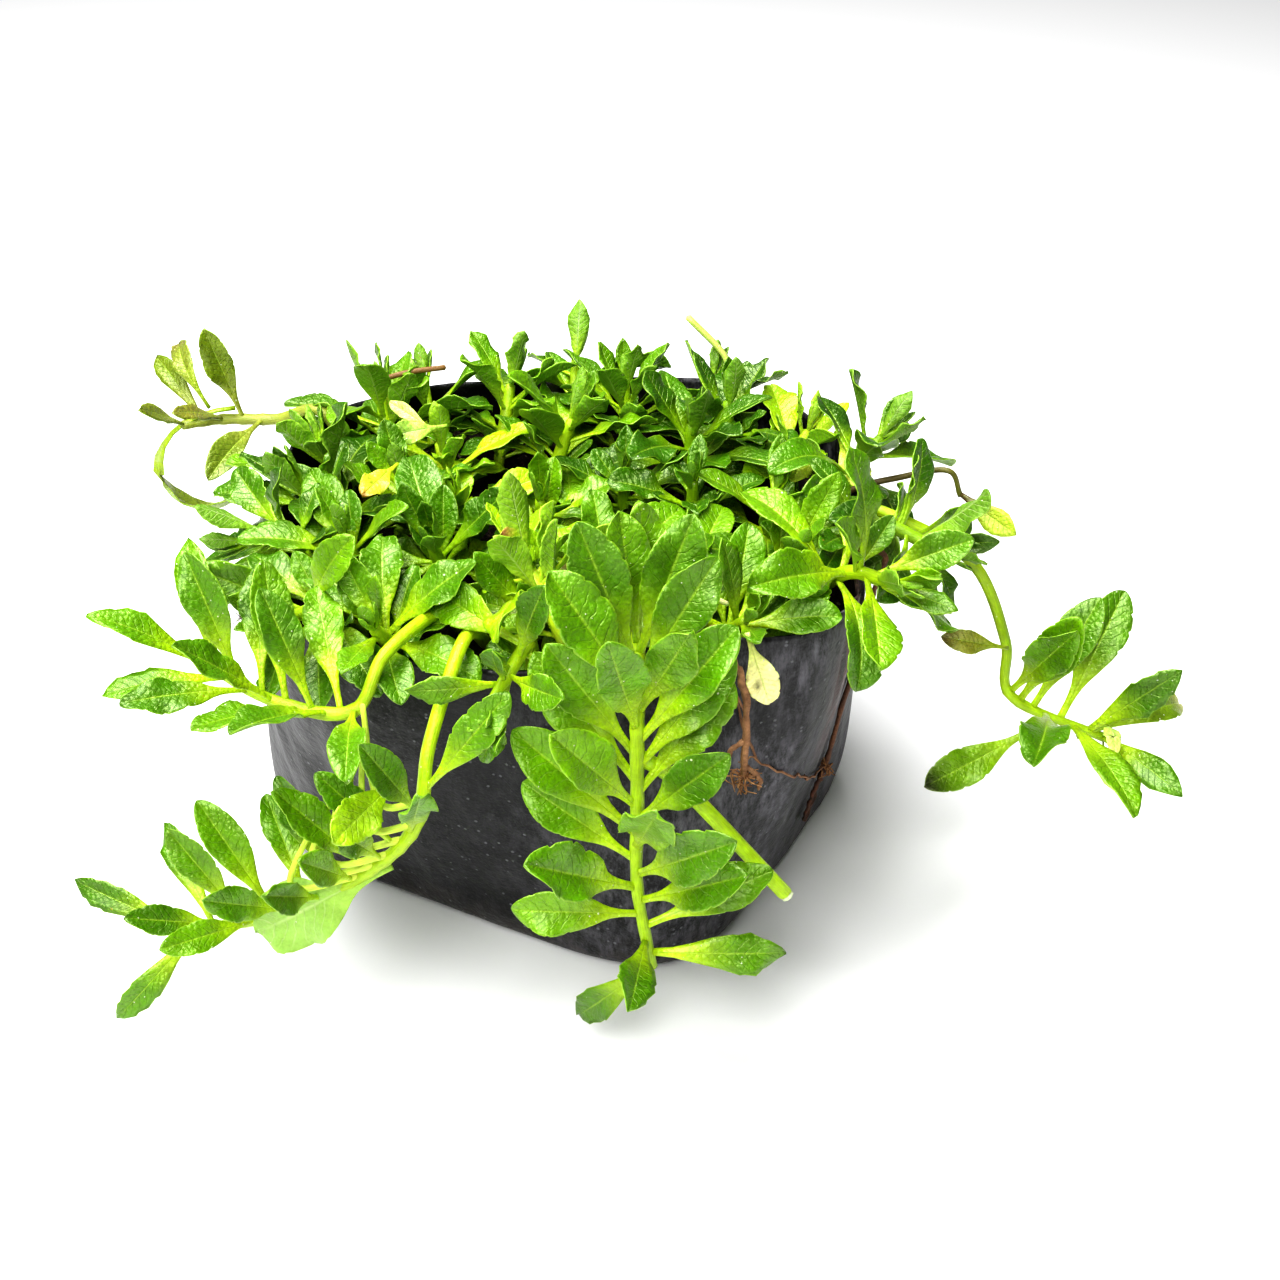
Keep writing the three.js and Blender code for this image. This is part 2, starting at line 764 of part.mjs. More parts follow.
// The first way of bending a leaf that is clear of all other pieces, and preferably of its own stem's leaves
function bentClear(plan, others, own) {
  let spare = null;
  for (const size of TRY_SIZES) {
    for (const lift of TRY_LIFTS) {
      for (const turn of TRY_TURNS) {
        const line = leafLine(plan, turn, lift, size);
        const grown = leafSolid(line, plan, CLEARANCE);
        const box = grown.boundingBox();
        if (box.min[2] < LOWEST_LEAF || meets(grown, box, others)) {
          continue;
        }
        const leaf = { solid: leafSolid(line, plan, 0), box };
        if (!meets(grown, box, own)) {
          return leaf;
        }
        spare ??= leaf;
      }
    }
  }
  return spare;
}

// Grows a leaf on every stem in turn, the oldest first.
// A leaf that can't be bent clear is left out.
function growLeaves(stems, obstacles) {
  const grown = new Map(stems.map((stem) => [stem, []]));
  const rounds = Math.max(...stems.map((stem) => stem.plans.length));
  for (let index = 0; index < rounds; index += 1) {
    for (const stem of stems.filter((each) => index < each.plans.length)) {
      const rest = stems.filter((each) => each !== stem);
      const trunks = rest.map((each) => each.trunk);
      const others = [...obstacles, ...trunks, ...rest.flatMap((each) => grown.get(each))];
      const leaf = bentClear(stem.plans[index], others, grown.get(stem));
      if (leaf) {
        grown.get(stem).push(leaf);
      }
    }
  }
  return grown;
}

function boxed(solid) {
  return { solid, box: solid.boundingBox() };
}

const stems = [...TRAILING_STEMS, ...CROWN_STEMS].map((stem, number) => {
  const seeded = { ...stem, seed: 101 + 37 * number };
  const line = stemLine(seeded);
  return { ...seeded, line, plans: leafPlans(seeded, line), trunk: boxed(trunkSolid(seeded, line)) };
});

// The dry stem, the dry root and the thread between them hold together as one piece
function drySolid() {
  const onFilm = (radius) => ([bearing, height]) =>
    bagPoint(bearing, height / RIM_HEIGHT, height, -radius - ROOT_GAP).toArray();
  const rod = (route, radius) => rodSolid(lineThrough(route, 1), radius, radius);
  const stem = trunkSolid(DRY_STEM, stemLine(DRY_STEM));
  const route = [...DRY_ROOT.over, ...DRY_ROOT.path.map(onFilm(DRY_ROOT.radius))];
  const root = trunkSolid(DRY_ROOT, stemLine({ ...DRY_ROOT, route }));
  const prongs = ROOT_PRONGS.map((prong) => rod(prong.map(onFilm(DRY_ROOT.radius)), DRY_ROOT.radius));
  const stubs = DRY_STUBS.map((stub) => rod(stub, DRY_ROOT.radius));
  const thread = rod([THREAD_START, ...ROOT_THREAD.map(onFilm(THREAD_RADIUS))], THREAD_RADIUS);
  return wasm.Manifold.union([stem, root, ...prongs, ...stubs, thread]);
}

const dry = drySolid();
const bag = bagSolid();
const holes = [...stems, DRY_STEM, DRY_ROOT].map(holeSolid);
const soil = soilSolid().subtract(wasm.Manifold.union(holes));
const grown = growLeaves(stems, [bag, soil, dry].map(boxed));

const group = new THREE.Group();
function addPiece(name, solid, color, roughness) {
  const finish = new THREE.MeshStandardMaterial({ color, roughness, metalness: 0 });
  const mesh = new THREE.Mesh(geometryOf(solid), finish);
  mesh.name = name;
  group.add(mesh);
}
addPiece("bag", bag, 0x16161a, 0.35);
addPiece("soil", soil, 0x1d150f, 0.95);
addPiece("dry_roots", dry, TONES.dry, 0.8);
for (const stem of stems) {
  const solid = wasm.Manifold.union([stem.trunk.solid, ...grown.get(stem).map((leaf) => leaf.solid)]);
  addPiece(stem.name, solid, TONES[stem.tone], 0.4);
}

export default group;
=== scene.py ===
import math

import bpy
import numpy as np
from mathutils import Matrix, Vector, kdtree


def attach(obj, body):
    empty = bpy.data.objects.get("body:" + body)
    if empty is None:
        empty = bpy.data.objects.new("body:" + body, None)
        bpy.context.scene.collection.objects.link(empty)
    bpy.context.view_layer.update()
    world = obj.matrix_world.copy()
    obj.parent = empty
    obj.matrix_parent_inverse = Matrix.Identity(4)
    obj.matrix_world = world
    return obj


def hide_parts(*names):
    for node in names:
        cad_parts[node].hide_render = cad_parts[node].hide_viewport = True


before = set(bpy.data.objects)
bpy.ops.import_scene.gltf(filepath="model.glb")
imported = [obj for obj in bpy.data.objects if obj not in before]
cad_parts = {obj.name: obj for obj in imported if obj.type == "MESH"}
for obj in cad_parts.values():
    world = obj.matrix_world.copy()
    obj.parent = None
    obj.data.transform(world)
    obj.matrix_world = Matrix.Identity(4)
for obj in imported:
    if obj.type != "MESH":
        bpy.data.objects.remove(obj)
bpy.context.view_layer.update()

# Camera
# It stands in front of the bag and looks down on the plant, as the photographer did.
CAMERA_TILT = math.radians(33)
CAMERA_DISTANCE = 0.76
CAMERA_AIM = Vector((0.026, 0, 0.084))
SENSOR_WIDTH = 36
FOCAL_LENGTH = 56

camera_data = bpy.data.cameras.new("camera")
camera_data.sensor_width = SENSOR_WIDTH
camera_data.lens = FOCAL_LENGTH
camera = bpy.data.objects.new("camera", camera_data)
bpy.context.collection.objects.link(camera)
camera_side = Vector((0, -math.cos(CAMERA_TILT), math.sin(CAMERA_TILT)))
camera.location = CAMERA_AIM + CAMERA_DISTANCE * camera_side
camera.rotation_euler = (math.radians(90) - CAMERA_TILT, 0, 0)
bpy.context.scene.camera = camera
bpy.context.scene.view_settings.view_transform = "Standard"
bpy.context.scene.view_settings.look = "High Contrast"


# Bag
# A nursery bag of thin black polythene film. It was pressed flat, so its base has folded corners,
# and the soil has filled it out. Dry soil dust and water marks lie on the film.
MM = 0.001
RIM_HEIGHT = 145
RIM_HALF_X = 107
RIM_HALF_Y = 101
RIM_SQUARENESS = 3.2
RIM_SAG = 7
RIM_SAG_BEARING = -2.15
RIM_RIPPLE = 1.6
BASE_HALF_X = 98
BASE_HALF_Y = 84
BASE_SQUARENESS = 5
BASE_TURN = -0.49
BASE_CENTRE = np.array([-6.0, 12.0])
BASE_INSET = 5
BULGE = 4
FOLD_DEPTH = 2.2
FOLD_TURNS = 7
FOLD_BEARING = 0.6
FILM = 1.0
BAG_COLUMNS = 288
BAG_ROWS = 72
FOOT_SHARE = 0.05
FLAT_SHARE = 0.01
FREE_SHARE = 0.08
LIP_WAVE = 0.7
LIP_TURNS = 19
LIP_SHARE = 0.03
# Soft wrinkles, each with its turns round the bag, its lean, where it starts and its depth
FILM_WAVES = [
    (9, 2.5, 0.3, 0.9), (14, -3.6, 1.9, 0.6), (23, 5.1, 4.2, 0.45), (37, -9.5, 0.7, 0.3), (61, 14, 2.6, 0.16),
]
# Sharp upright creases, each with its bearing, share of the height, lean, depth and width
FILM_CREASES = [
    (-0.4, 0.95, 0.06, 2.6, 0.022),
    (-0.45, 0.95, 0.06, -1.8, 0.02),
    (-0.62, 0.95, 0.10, -1.6, 0.018),
    (-0.56, 0.9, 0.05, 0.9, 0.02),
    (-0.66, 0.5, -0.12, -0.9, 0.02),
    (-0.98, 0.75, 0.22, -0.7, 0.03),
    (-1.3, 0.4, 0.5, 0.6, 0.03),
    (-2.45, 0.55, 0.3, -0.9, 0.03),
    (-2.75, 0.7, -0.2, 0.8, 0.03),
    (0.4, 0.6, 0.3, -0.8, 0.03),
    (1.5, 0.5, -0.4, -0.8, 0.03),
    (2.4, 0.6, 0.2, -0.8, 0.03),
]
CREASE_LENGTH = 0.34
# Where the film is marked, in metres. The brown edge is measured with its height shrunk to a quarter.
RED_STAIN = (0.052, -0.112, 0.045)
GREY_CORNER = (-0.111, -0.03, 0.012)
BROWN_EDGE = (0.105, -0.058, 0.03)
# Level folds where the film sags, each with its bearing, share of the height, width, height and depth
FILM_SAGS = [
    (-2.1, 0.3, 0.42, 0.06, 0.9), (-1.75, 0.2, 0.5, 0.05, -0.8), (-2.5, 0.42, 0.3, 0.05, 0.7),
    (-1.5, 0.14, 0.6, 0.03, 0.7),
]


def deselect_all():
    if bpy.context.object and bpy.context.object.mode != "OBJECT":
        bpy.ops.object.mode_set(mode="OBJECT")
    bpy.ops.object.select_all(action="DESELECT")


def select_only(piece):
    deselect_all()
    piece.select_set(True)
    bpy.context.view_layer.objects.active = piece


def places_of(piece):
    places = np.empty(len(piece.data.vertices) * 3)
    piece.data.vertices.foreach_get("co", places)
    return places.reshape(-1, 3)


def move_vertices(piece, places):
    piece.data.vertices.foreach_set("co", np.asarray(places, float).ravel())
    piece.data.update()


def bump_at(value, centre, width):
    return np.exp(-(((value - centre) / width) ** 2))


def rounded_square(bearing, half_x, half_y, squareness):
    across = np.abs(np.cos(bearing)) / half_x
    along = np.abs(np.sin(bearing)) / half_y
    return (across**squareness + along**squareness) ** (-1 / squareness)


def rim_height(bearing):
    sag = np.maximum(0, np.cos(bearing - RIM_SAG_BEARING)) ** 3
    return RIM_HEIGHT - RIM_SAG * sag + RIM_RIPPLE * np.sin(5 * bearing + 1)


def film_point(bearing, share, height, outward=0.0):
    """The film's outer face in millimetres, at a bearing and a share of the height."""
    blend = share * share * (3 - 2 * share)
    rim = rounded_square(bearing, RIM_HALF_X, RIM_HALF_Y, RIM_SQUARENESS)
    base = rounded_square(bearing - BASE_TURN, BASE_HALF_X, BASE_HALF_Y, BASE_SQUARENESS)
    fold = FOLD_DEPTH * share * share * np.sin(FOLD_TURNS * bearing + FOLD_BEARING)
    radius = base + (rim - base) * blend + BULGE * np.sin(np.pi * share) + fold + outward
    x = BASE_CENTRE[0] * (1 - share) + radius * np.cos(bearing)
    y = BASE_CENTRE[1] * (1 - share) + radius * np.sin(bearing)
    return np.stack([x, y, height + 0 * x], axis=-1)


def wrapped(angle):
    return (angle + np.pi) % (2 * np.pi) - np.pi


def film_creases(bearing, share):
    """How far soft wrinkles and sharp creases push the film in or out, in millimetres."""
    push = 0
    for turns, lean, begin, depth in FILM_WAVES:
        push = push + depth * np.sin(turns * bearing + lean * share + begin)
    push = push * (0.35 + 0.65 * np.sin(3 * bearing + 4 * share + 1) ** 2)
    for middle, at_share, lean, depth, width in FILM_CREASES:
        place = wrapped(bearing - middle - lean * (share - at_share))
        push = push + depth * bump_at(place, 0, width) * bump_at(share, at_share, CREASE_LENGTH)
    for middle, at_share, width, height, depth in FILM_SAGS:
        level = share - at_share - 0.05 * np.sin(5 * (bearing - middle))
        push = push + depth * bump_at(wrapped(bearing - middle), 0, width) * bump_at(level, 0, height)
    return push


def start_sheet(name, columns):
    """A unit disc that is open for editing, with its rim selected."""
    deselect_all()
    bpy.ops.mesh.primitive_circle_add(vertices=columns, radius=1, fill_type="TRIFAN")
    sheet = bpy.context.object
    sheet.name = name
    bpy.ops.object.mode_set(mode="EDIT")
    bpy.ops.mesh.select_all(action="DESELECT")
    bpy.ops.mesh.select_non_manifold(use_wire=False, use_boundary=True, use_multi_face=False)
    return sheet


def raise_rim(step):
    bpy.ops.mesh.extrude_edges_move(TRANSFORM_OT_translate={"value": (0, 0, step)})


def make_bag():
    bag = start_sheet("bag_film", BAG_COLUMNS)
    for _ in range(BAG_ROWS):
        raise_rim(1 / BAG_ROWS)
    bpy.ops.mesh.select_all(action="SELECT")
    bpy.ops.mesh.normals_make_consistent(inside=False)
    bpy.ops.object.mode_set(mode="OBJECT")
    unit = places_of(bag)
    bearing = np.arctan2(unit[:, 1], unit[:, 0])
    share = np.clip(unit[:, 2], 0, 1)
    tucked = BASE_INSET * np.maximum(0, 1 - share / FOOT_SHARE) ** 2
    ease = np.clip((share - FLAT_SHARE) / FREE_SHARE, 0, 1)
    push = film_creases(bearing, share) * ease - tucked
    lip = LIP_WAVE * np.sin(LIP_TURNS * bearing) * bump_at(share, 1, LIP_SHARE)
    places = film_point(bearing, share, share * rim_height(bearing), push + lip)
    centre = np.hypot(unit[:, 0], unit[:, 1]) < 0.5
    places[centre] = (*BASE_CENTRE, 0)
    move_vertices(bag, places * MM)
    wall = bag.modifiers.new("film", "SOLIDIFY")
    wall.thickness = FILM * MM
    wall.offset = -1
    select_only(bag)
    bpy.ops.object.modifier_apply(modifier=wall.name)
    bpy.ops.object.shade_smooth()
    return bag


def paint(red, green, blue):
    """A colour as a paint chart gives it, from 0 to 255, as the light share that a shader wants."""
    shares = [level / 255 for level in (red, green, blue)]
    return (*[((share + 0.055) / 1.055) ** 2.4 if share > 0.0393 else share / 12.92 for share in shares], 1.0)


def new_finish(name):
    finish = bpy.data.materials.new(name)
    finish.use_nodes = True
    return finish, finish.node_tree, finish.node_tree.nodes["Principled BSDF"]


def add_node(tree, kind, inputs=None, **settings):
    made = tree.nodes.new(kind)
    for name, value in settings.items():
        setattr(made, name, value)
    for name, value in (inputs or {}).items():
        if isinstance(value, bpy.types.NodeSocket):
            tree.links.new(value, made.inputs[name])
        else:
            made.inputs[name].default_value = value
    return made


def blended(tree, share, first, second, mode="MIX"):
    """A colour between two, by a share from 0 to 1."""
    inputs = {0: share, 6: first, 7: second}
    return add_node(tree, "ShaderNodeMix", inputs, data_type="RGBA", blend_type=mode).outputs[2]


def shaded(tree, colour, shade):
    """A colour made darker or lighter by a shade round 1."""
    grey = add_node(tree, "ShaderNodeCombineColor", {0: shade, 1: shade, 2: shade}).outputs[0]
    return blended(tree, 1.0, colour, grey, "MULTIPLY")


def place_in(tree):
    return add_node(tree, "ShaderNodeTexCoord").outputs["Object"]


def grown_colour(tree):
    return add_node(tree, "ShaderNodeAttribute", attribute_name="growth_colour").outputs["Color"]


def worked(tree, operation, *values):
    return add_node(tree, "ShaderNodeMath", dict(enumerate(values)), operation=operation).outputs[0]


def times(tree, first, second):
    return worked(tree, "MULTIPLY", first, second)


def plus(tree, first, second):
    return worked(tree, "ADD", first, second)


def spread(tree, value, low, high, start=0.0, end=1.0):
    """The value taken from low..high to start..end, and held there."""
    inputs = {"Value": value, "From Min": low, "From Max": high, "To Min": start, "To Max": end}
    return add_node(tree, "ShaderNodeMapRange", inputs).outputs[0]


def cloud(tree, where, scale, detail=3.0, roughness=0.55):
    inputs = {"Vector": where, "Scale": scale, "Detail": detail, "Roughness": roughness}
    return add_node(tree, "ShaderNodeTexNoise", inputs).outputs[0]


def specks(tree, where, scale, size, keep):
    """Small round specks: 1 inside each speck and 0 outside. keep is the share of the cells that hold one."""
    cells = add_node(tree, "ShaderNodeTexVoronoi", {"Vector": where, "Scale": scale})
    inside = spread(tree, cells.outputs["Distance"], size, size * 0.5)
    draw = add_node(tree, "ShaderNodeSeparateColor", {0: cells.outputs["Color"]}).outputs[0]
    return times(tree, inside, worked(tree, "LESS_THAN", draw, keep))


def raised(tree, shader, height, distance, strength):
    bump = add_node(tree, "ShaderNodeBump", {"Height": height, "Distance": distance, "Strength": strength})
    tree.links.new(bump.outputs[0], shader.inputs["Normal"])


def stretched(tree, where, scale):
    return add_node(tree, "ShaderNodeMapping", {"Vector": where, "Scale": scale}).outputs[0]


def marked_round(tree, where, under, centre, reach, core, broken, strength, colour):
    """A colour marked by another round a centre, from its reach to its core, where broken leaves it."""
    away = add_node(tree, "ShaderNodeVectorMath", {0: where, 1: centre}, operation="DISTANCE")
    share = times(tree, spread(tree, away.outputs["Value"], reach, core), broken)
    return blended(tree, times(tree, share, strength), under, colour)


def film_finish():
    finish, tree, shader = new_finish("black polythene film")
    where = place_in(tree)
    place = add_node(tree, "ShaderNodeSeparateXYZ", {0: where})
    streaks = stretched(tree, where, (1, 1, 0.35))
    patch = spread(tree, cloud(tree, where, 24, 4, 0.6), 0.4, 0.6)
    streak = spread(tree, cloud(tree, streaks, 200, 4, 0.8), 0.42, 0.66)
    wiped = times(tree, spread(tree, patch, 0, 1, 0.25, 1), streak)
    haze = times(tree, wiped, spread(tree, place.outputs[0], -0.04, 0.05, 0.2, 1))
    fine = spread(tree, cloud(tree, where, 900, 3, 0.7), 0.52, 0.75)
    dust = worked(tree, "MAXIMUM", haze, times(tree, fine, spread(tree, patch, 0, 1, 0.12, 0.5)))
    grit = worked(tree, "MAXIMUM", specks(tree, where, 420, 0.3, 0.12), specks(tree, where, 190, 0.16, 0.1))
    uneven = spread(tree, cloud(tree, where, 60, 4), 0.3, 0.7)
    film = blended(tree, uneven, paint(11, 11, 12), paint(21, 20, 21))
    dusty = blended(tree, times(tree, dust, 0.9), film, paint(122, 120, 126))
    blots = spread(tree, cloud(tree, where, 260), 0.42, 0.6)
    stained = marked_round(tree, where, dusty, RED_STAIN, 0.013, 0.004, blots, 0.7, paint(120, 62, 58))
    scuffs = spread(tree, cloud(tree, where, 120, 5), 0.4, 0.62)
    greyed = marked_round(tree, where, stained, GREY_CORNER, 0.022, 0.006, scuffs, 0.75, paint(170, 172, 176))
    upright = stretched(tree, where, (1, 1, 0.25))
    runs = spread(tree, cloud(tree, streaks, 200, 4), 0.4, 0.6)
    striped = marked_round(tree, upright, greyed, BROWN_EDGE, 0.022, 0.01, runs, 0.6, paint(112, 74, 66))
    soil_marks = spread(tree, cloud(tree, where, 90, 5), 0.4, 0.7)
    foot = times(tree, spread(tree, place.outputs[2], 0.02, 0.0), soil_marks)
    soiled = blended(tree, times(tree, foot, 0.5), striped, paint(96, 86, 78))
    gritty = blended(tree, times(tree, grit, 0.22), soiled, paint(190, 192, 196))
    tree.links.new(gritty, shader.inputs["Base Color"])
    tree.links.new(spread(tree, dust, 0, 1, 0.4, 0.8), shader.inputs["Roughness"])
    shader.inputs["Specular IOR Level"].default_value = 0.35
    coarse = times(tree, cloud(tree, where, 70, 4, 0.6), 2.0)
    crinkle = plus(tree, coarse, times(tree, cloud(tree, where, 330, 3), 0.35))
    raised(tree, shader, plus(tree, crinkle, times(tree, grit, 0.3)), 0.0016, 0.55)
    return finish


bag = make_bag()
bag.data.materials.append(film_finish())
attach(bag, "root")
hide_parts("bag")


# Soil
# Dark potting soil, packed to 24 mm below the bag's rim and slightly domed. Its top is a crumb of peat
# and bark.
SOIL_HEIGHT = 121
SOIL_DOME = 5
SOIL_GAP = 0.4
SOIL_RINGS = 46
SOIL_COLUMNS = 180
SOIL_FOOT_ROWS = 5
SOIL_MARGIN = 1.6
LUMPS = [(34, 1.2), (21, 0.9), (13, 0.7), (8, 0.55), (5, 0.45), (3.4, 0.3)]
LUMP_SETS = 3


def rough_height(x, y):
    """Lumps on the soil's top, in millimetres, from waves in many directions."""
    draws = np.random.default_rng(5)
    height = 0 * x
    for length, size in LUMPS * LUMP_SETS:
        angle, start = draws.uniform(0, 2 * np.pi, 2)
        across = x * np.cos(angle) + y * np.sin(angle)
        height = height + size * np.sin(2 * np.pi * across / length + start)
    return height


def make_soil():
    soil = start_sheet("soil_bed", SOIL_COLUMNS)
    for _ in range(SOIL_FOOT_ROWS):
        raise_rim(1 / SOIL_FOOT_ROWS)
    for ring in range(1, SOIL_RINGS):
        shrink = (1 - ring / SOIL_RINGS) / (1 - (ring - 1) / SOIL_RINGS)
        raise_rim(1 / SOIL_RINGS)
        bpy.ops.transform.resize(value=(shrink, shrink, 1), center_override=(0, 0, 0))
    bpy.ops.mesh.edge_face_add()
    bpy.ops.object.mode_set(mode="OBJECT")
    unit = places_of(soil)
    bearing = np.arctan2(unit[:, 1], unit[:, 0])
    inward = np.hypot(unit[:, 0], unit[:, 1])
    floor_height = FILM + SOIL_GAP
    inset = -(floor_height + SOIL_MARGIN)
    level = np.clip(unit[:, 2], 0, 1) * SOIL_HEIGHT / RIM_HEIGHT
    height = np.maximum(level * RIM_HEIGHT, floor_height)
    wall = film_point(bearing, level, height, inset - BASE_INSET * (level < FLAT_SHARE))
    edge = film_point(bearing, SOIL_HEIGHT / RIM_HEIGHT, SOIL_HEIGHT, inset)
    top = edge * inward[:, None]
    lumps = rough_height(top[:, 0], top[:, 1]) * (inward < 0.99)
    top[:, 2] = SOIL_HEIGHT + SOIL_DOME * (1 - inward**2) + lumps
    places = np.where((unit[:, 2] > 1.0001)[:, None], top, wall)
    places[(inward < 0.01) & (unit[:, 2] < 0.5)] = (*BASE_CENTRE, floor_height)
    move_vertices(soil, places * MM)
    return soil


def soil_finish():
    finish, tree, shader = new_finish("potting soil")
    where = place_in(tree)
    crumb = cloud(tree, where, 260, 6, 0.7)
    dark = blended(tree, spread(tree, crumb, 0.35, 0.65), paint(20, 14, 10), paint(52, 38, 28))
    bark = blended(tree, spread(tree, cloud(tree, where, 520, 3), 0.6, 0.7), dark, paint(92, 66, 44))
    pale = blended(tree, specks(tree, where, 300, 0.3, 0.1), bark, paint(150, 138, 118))
    tree.links.new(pale, shader.inputs["Base Color"])
    shader.inputs["Roughness"].default_value = 0.92
    raised(tree, shader, plus(tree, crumb, cloud(tree, where, 900, 4)), 0.0025, 0.9)
    return finish


soil = make_soil()
soil.data.materials.append(soil_finish())
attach(soil, "root")
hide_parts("soil")


# Leaf patterns
# A leaf is one thin blade, narrow where it leaves the stem and widest past its middle, with a few blunt
# teeth on each side. Two patterns are modelled flat, and every leaf is a bent copy of one of them. An outline
# is a smooth curve through a few points: the share of the length, and the half width as a share of the width.
FULL_OUTLINE = [
    (0, 0.036), (0.14, 0.034), (0.27, 0.055), (0.38, 0.108), (0.5, 0.17), (0.64, 0.212), (0.77, 0.2),
    (0.89, 0.14), (0.97, 0.07), (1, 0.008),
]
FULL_TEETH = [0.56, 0.72, 0.85]
FULL_ROWS = 22
YOUNG_OUTLINE = [(0, 0.03), (0.14, 0.04), (0.38, 0.105), (0.6, 0.186), (0.76, 0.182), (0.9, 0.11), (1, 0.01)]
YOUNG_TEETH = [0.66, 0.82]
YOUNG_ROWS = 9
TOOTH_DEPTH = 0.022
TIP_CROWDING = 1.4
FULL_COLUMNS = [-1, -0.9, -0.66, -0.36, -0.11, 0, 0.11, 0.36, 0.66, 0.9, 1]
YOUNG_COLUMNS = [-1, -0.62, -0.15, 0.15, 0.62, 1]
EDGE_HALF = 0.11
BLADE_HALF = 0.26
STALK_HALF = 0.75
RIB_DEPTH = 0.55


def curve_through(route, steps_per_span):
    """Points of a smooth curve through a route."""
    route = np.array(route, float)
    route = np.vstack([2 * route[0] - route[1], route, 2 * route[-1] - route[-2]])
    spans = len(route) - 3
    points = []
    for step in range(spans * steps_per_span + 1):
        span = min(step // steps_per_span, spans - 1)
        t = step / steps_per_span - span
        before, start, end, after = route[span : span + 4]
        leave, arrive = (end - before) / 2, (after - start) / 2
        square = (-3 * start + 3 * end - 2 * leave - arrive) * t**2
        points.append(start + leave * t + square + (2 * start - 2 * end + leave + arrive) * t**3)
    return np.array(points)


def edge_rows(outline, teeth, rows):
    """Rows of an edge, closer together towards the tip, with a row at each tooth's notch."""
    shares = np.union1d(1 - (1 - np.linspace(0, 1, rows)) ** TIP_CROWDING, teeth)
    curve = curve_through(outline, 12)
    halves = np.interp(shares, curve[:, 0], curve[:, 1])
    return list(zip(shares, halves, np.where(np.isin(shares, teeth), TOOTH_DEPTH, 0)))


def leaf_pattern(name, edge, columns):
    """A flat unit blade: its vertices' shares of the length, places across, and sides, and its faces."""
    deselect_all()
    rows = len(edge)
    bpy.ops.mesh.primitive_grid_add(x_subdivisions=len(columns) - 1, y_subdivisions=rows - 1, size=2)
    flat = bpy.context.object
    flat.name = name
    skin = flat.modifiers.new("skin", "SOLIDIFY")
    skin.thickness = 1
    skin.offset = 0
    bpy.ops.object.modifier_apply(modifier=skin.name)
    unit = places_of(flat)
    column = (unit[:, 0] + 1) / 2 * (len(columns) - 1)
    row = (unit[:, 1] + 1) / 2 * (rows - 1)
    pattern = {
        "row": row,
        "across": np.interp(column, range(len(columns)), columns),
        "side": np.sign(unit[:, 2]),
        "faces": [tuple(face.vertices) for face in flat.data.polygons],
    }
    bpy.data.objects.remove(flat)
    for key, values in zip(("share", "half", "notch"), zip(*edge)):
        pattern[key] = np.interp(row, range(rows), values)
    return pattern


FULL_LEAF = leaf_pattern("full leaf", edge_rows(FULL_OUTLINE, FULL_TEETH, FULL_ROWS), FULL_COLUMNS)
YOUNG_LEAF = leaf_pattern("young leaf", edge_rows(YOUNG_OUTLINE, YOUNG_TEETH, YOUNG_ROWS), YOUNG_COLUMNS)


def eased(value, low, high):
    share = np.clip((value - low) / (high - low), 0, 1)
    return share * share * (3 - 2 * share)


# Growth rule
# A stem comes up out of the soil and follows its route. In the crown its leaves turn round it in a spiral,
# and on a hanging stem they stand on its two sides. The rule, its lengths in millimetres and its seeded
# draws are those of the solid parts, so each leaf is where its solid is.
CURVE_STEPS = 20
SPAN_STEPS = 2
LEAF_TURN = math.radians(137.5)
CROWN_REACH = 20
HABITS = {
    "crown": dict(
        bud=0.5, filling=1.9, opening=0.3, spread=1.3, ageing=0.7, rise=0.15, curl=0.45, uncurl=1.6,
        breadth=0.86,
    ),
    "hanging": dict(
        bud=0.9, filling=4, opening=1, spread=0.3, ageing=1, rise=0, curl=-0.35, uncurl=0,
        breadth=1,
    ),
}
NARROW_SHARE = 0.8
SIDE_TILT = 0.6
SIDE_WANDER = 1.8
SPIRAL_WANDER = 0.5
SIZE_WANDER = 0.24
CURL_WANDER = 0.8
TWIST_WANDER = 1
WAVE_WANDER = 0.1
LEAST_FOLD = 0.15
FOLD_WANDER = 0.35
LEAST_GIVE = 0.4
CURL_POWER = 1.4
WAVE_START = 0.41
CROWN_FACING = {"up": 0.4, "axis": 0.6, "outward": -0.3}
LEVEL_AXIS = 0.8
TRY_TURNS = [0, 0.2, -0.2, 0.4, -0.4, 0.65, -0.65, 0.9, -0.9]
TRY_LIFTS = [0, -0.2, 0.2, -0.4, 0.4, -0.6]
TRY_SIZES = [1, 0.85, 0.7]
MATCH_REACH = 0.03
UP = np.array([0.0, 0.0, 1.0])
# The corners of the solid leaves' edges, as shares of the length and half widths
SOLID_EDGES = {
    "full": ([(0.5, 0.19), (0.82, 0.165)], [(0.6, 0.212), (0.86, 0.145)], 2),
    "young": ([(0.41, 0.1), (0.68, 0.2)], [(0.4, 0.09), (0.74, 0.19)], 1),
    "bud": ([(0.56, 0.17)], [(0.66, 0.19)], 1),
}


def unit_of(vector):
    return vector / np.linalg.norm(vector)


def draws_from(seed):
    state = seed

    def draw():
        nonlocal state
        state = (state * 1664525 + 1013904223) % 2**32
        return state / 2**32

    return draw


def lengths_of(points):
    """The length of a line of points up to each of them."""
    return np.concatenate([[0], np.cumsum(np.linalg.norm(np.diff(points, axis=0), axis=1))])


def line_through(route, steps_per_span):
    points = curve_through(route, steps_per_span)
    return {"points": points, "lengths": lengths_of(points)}


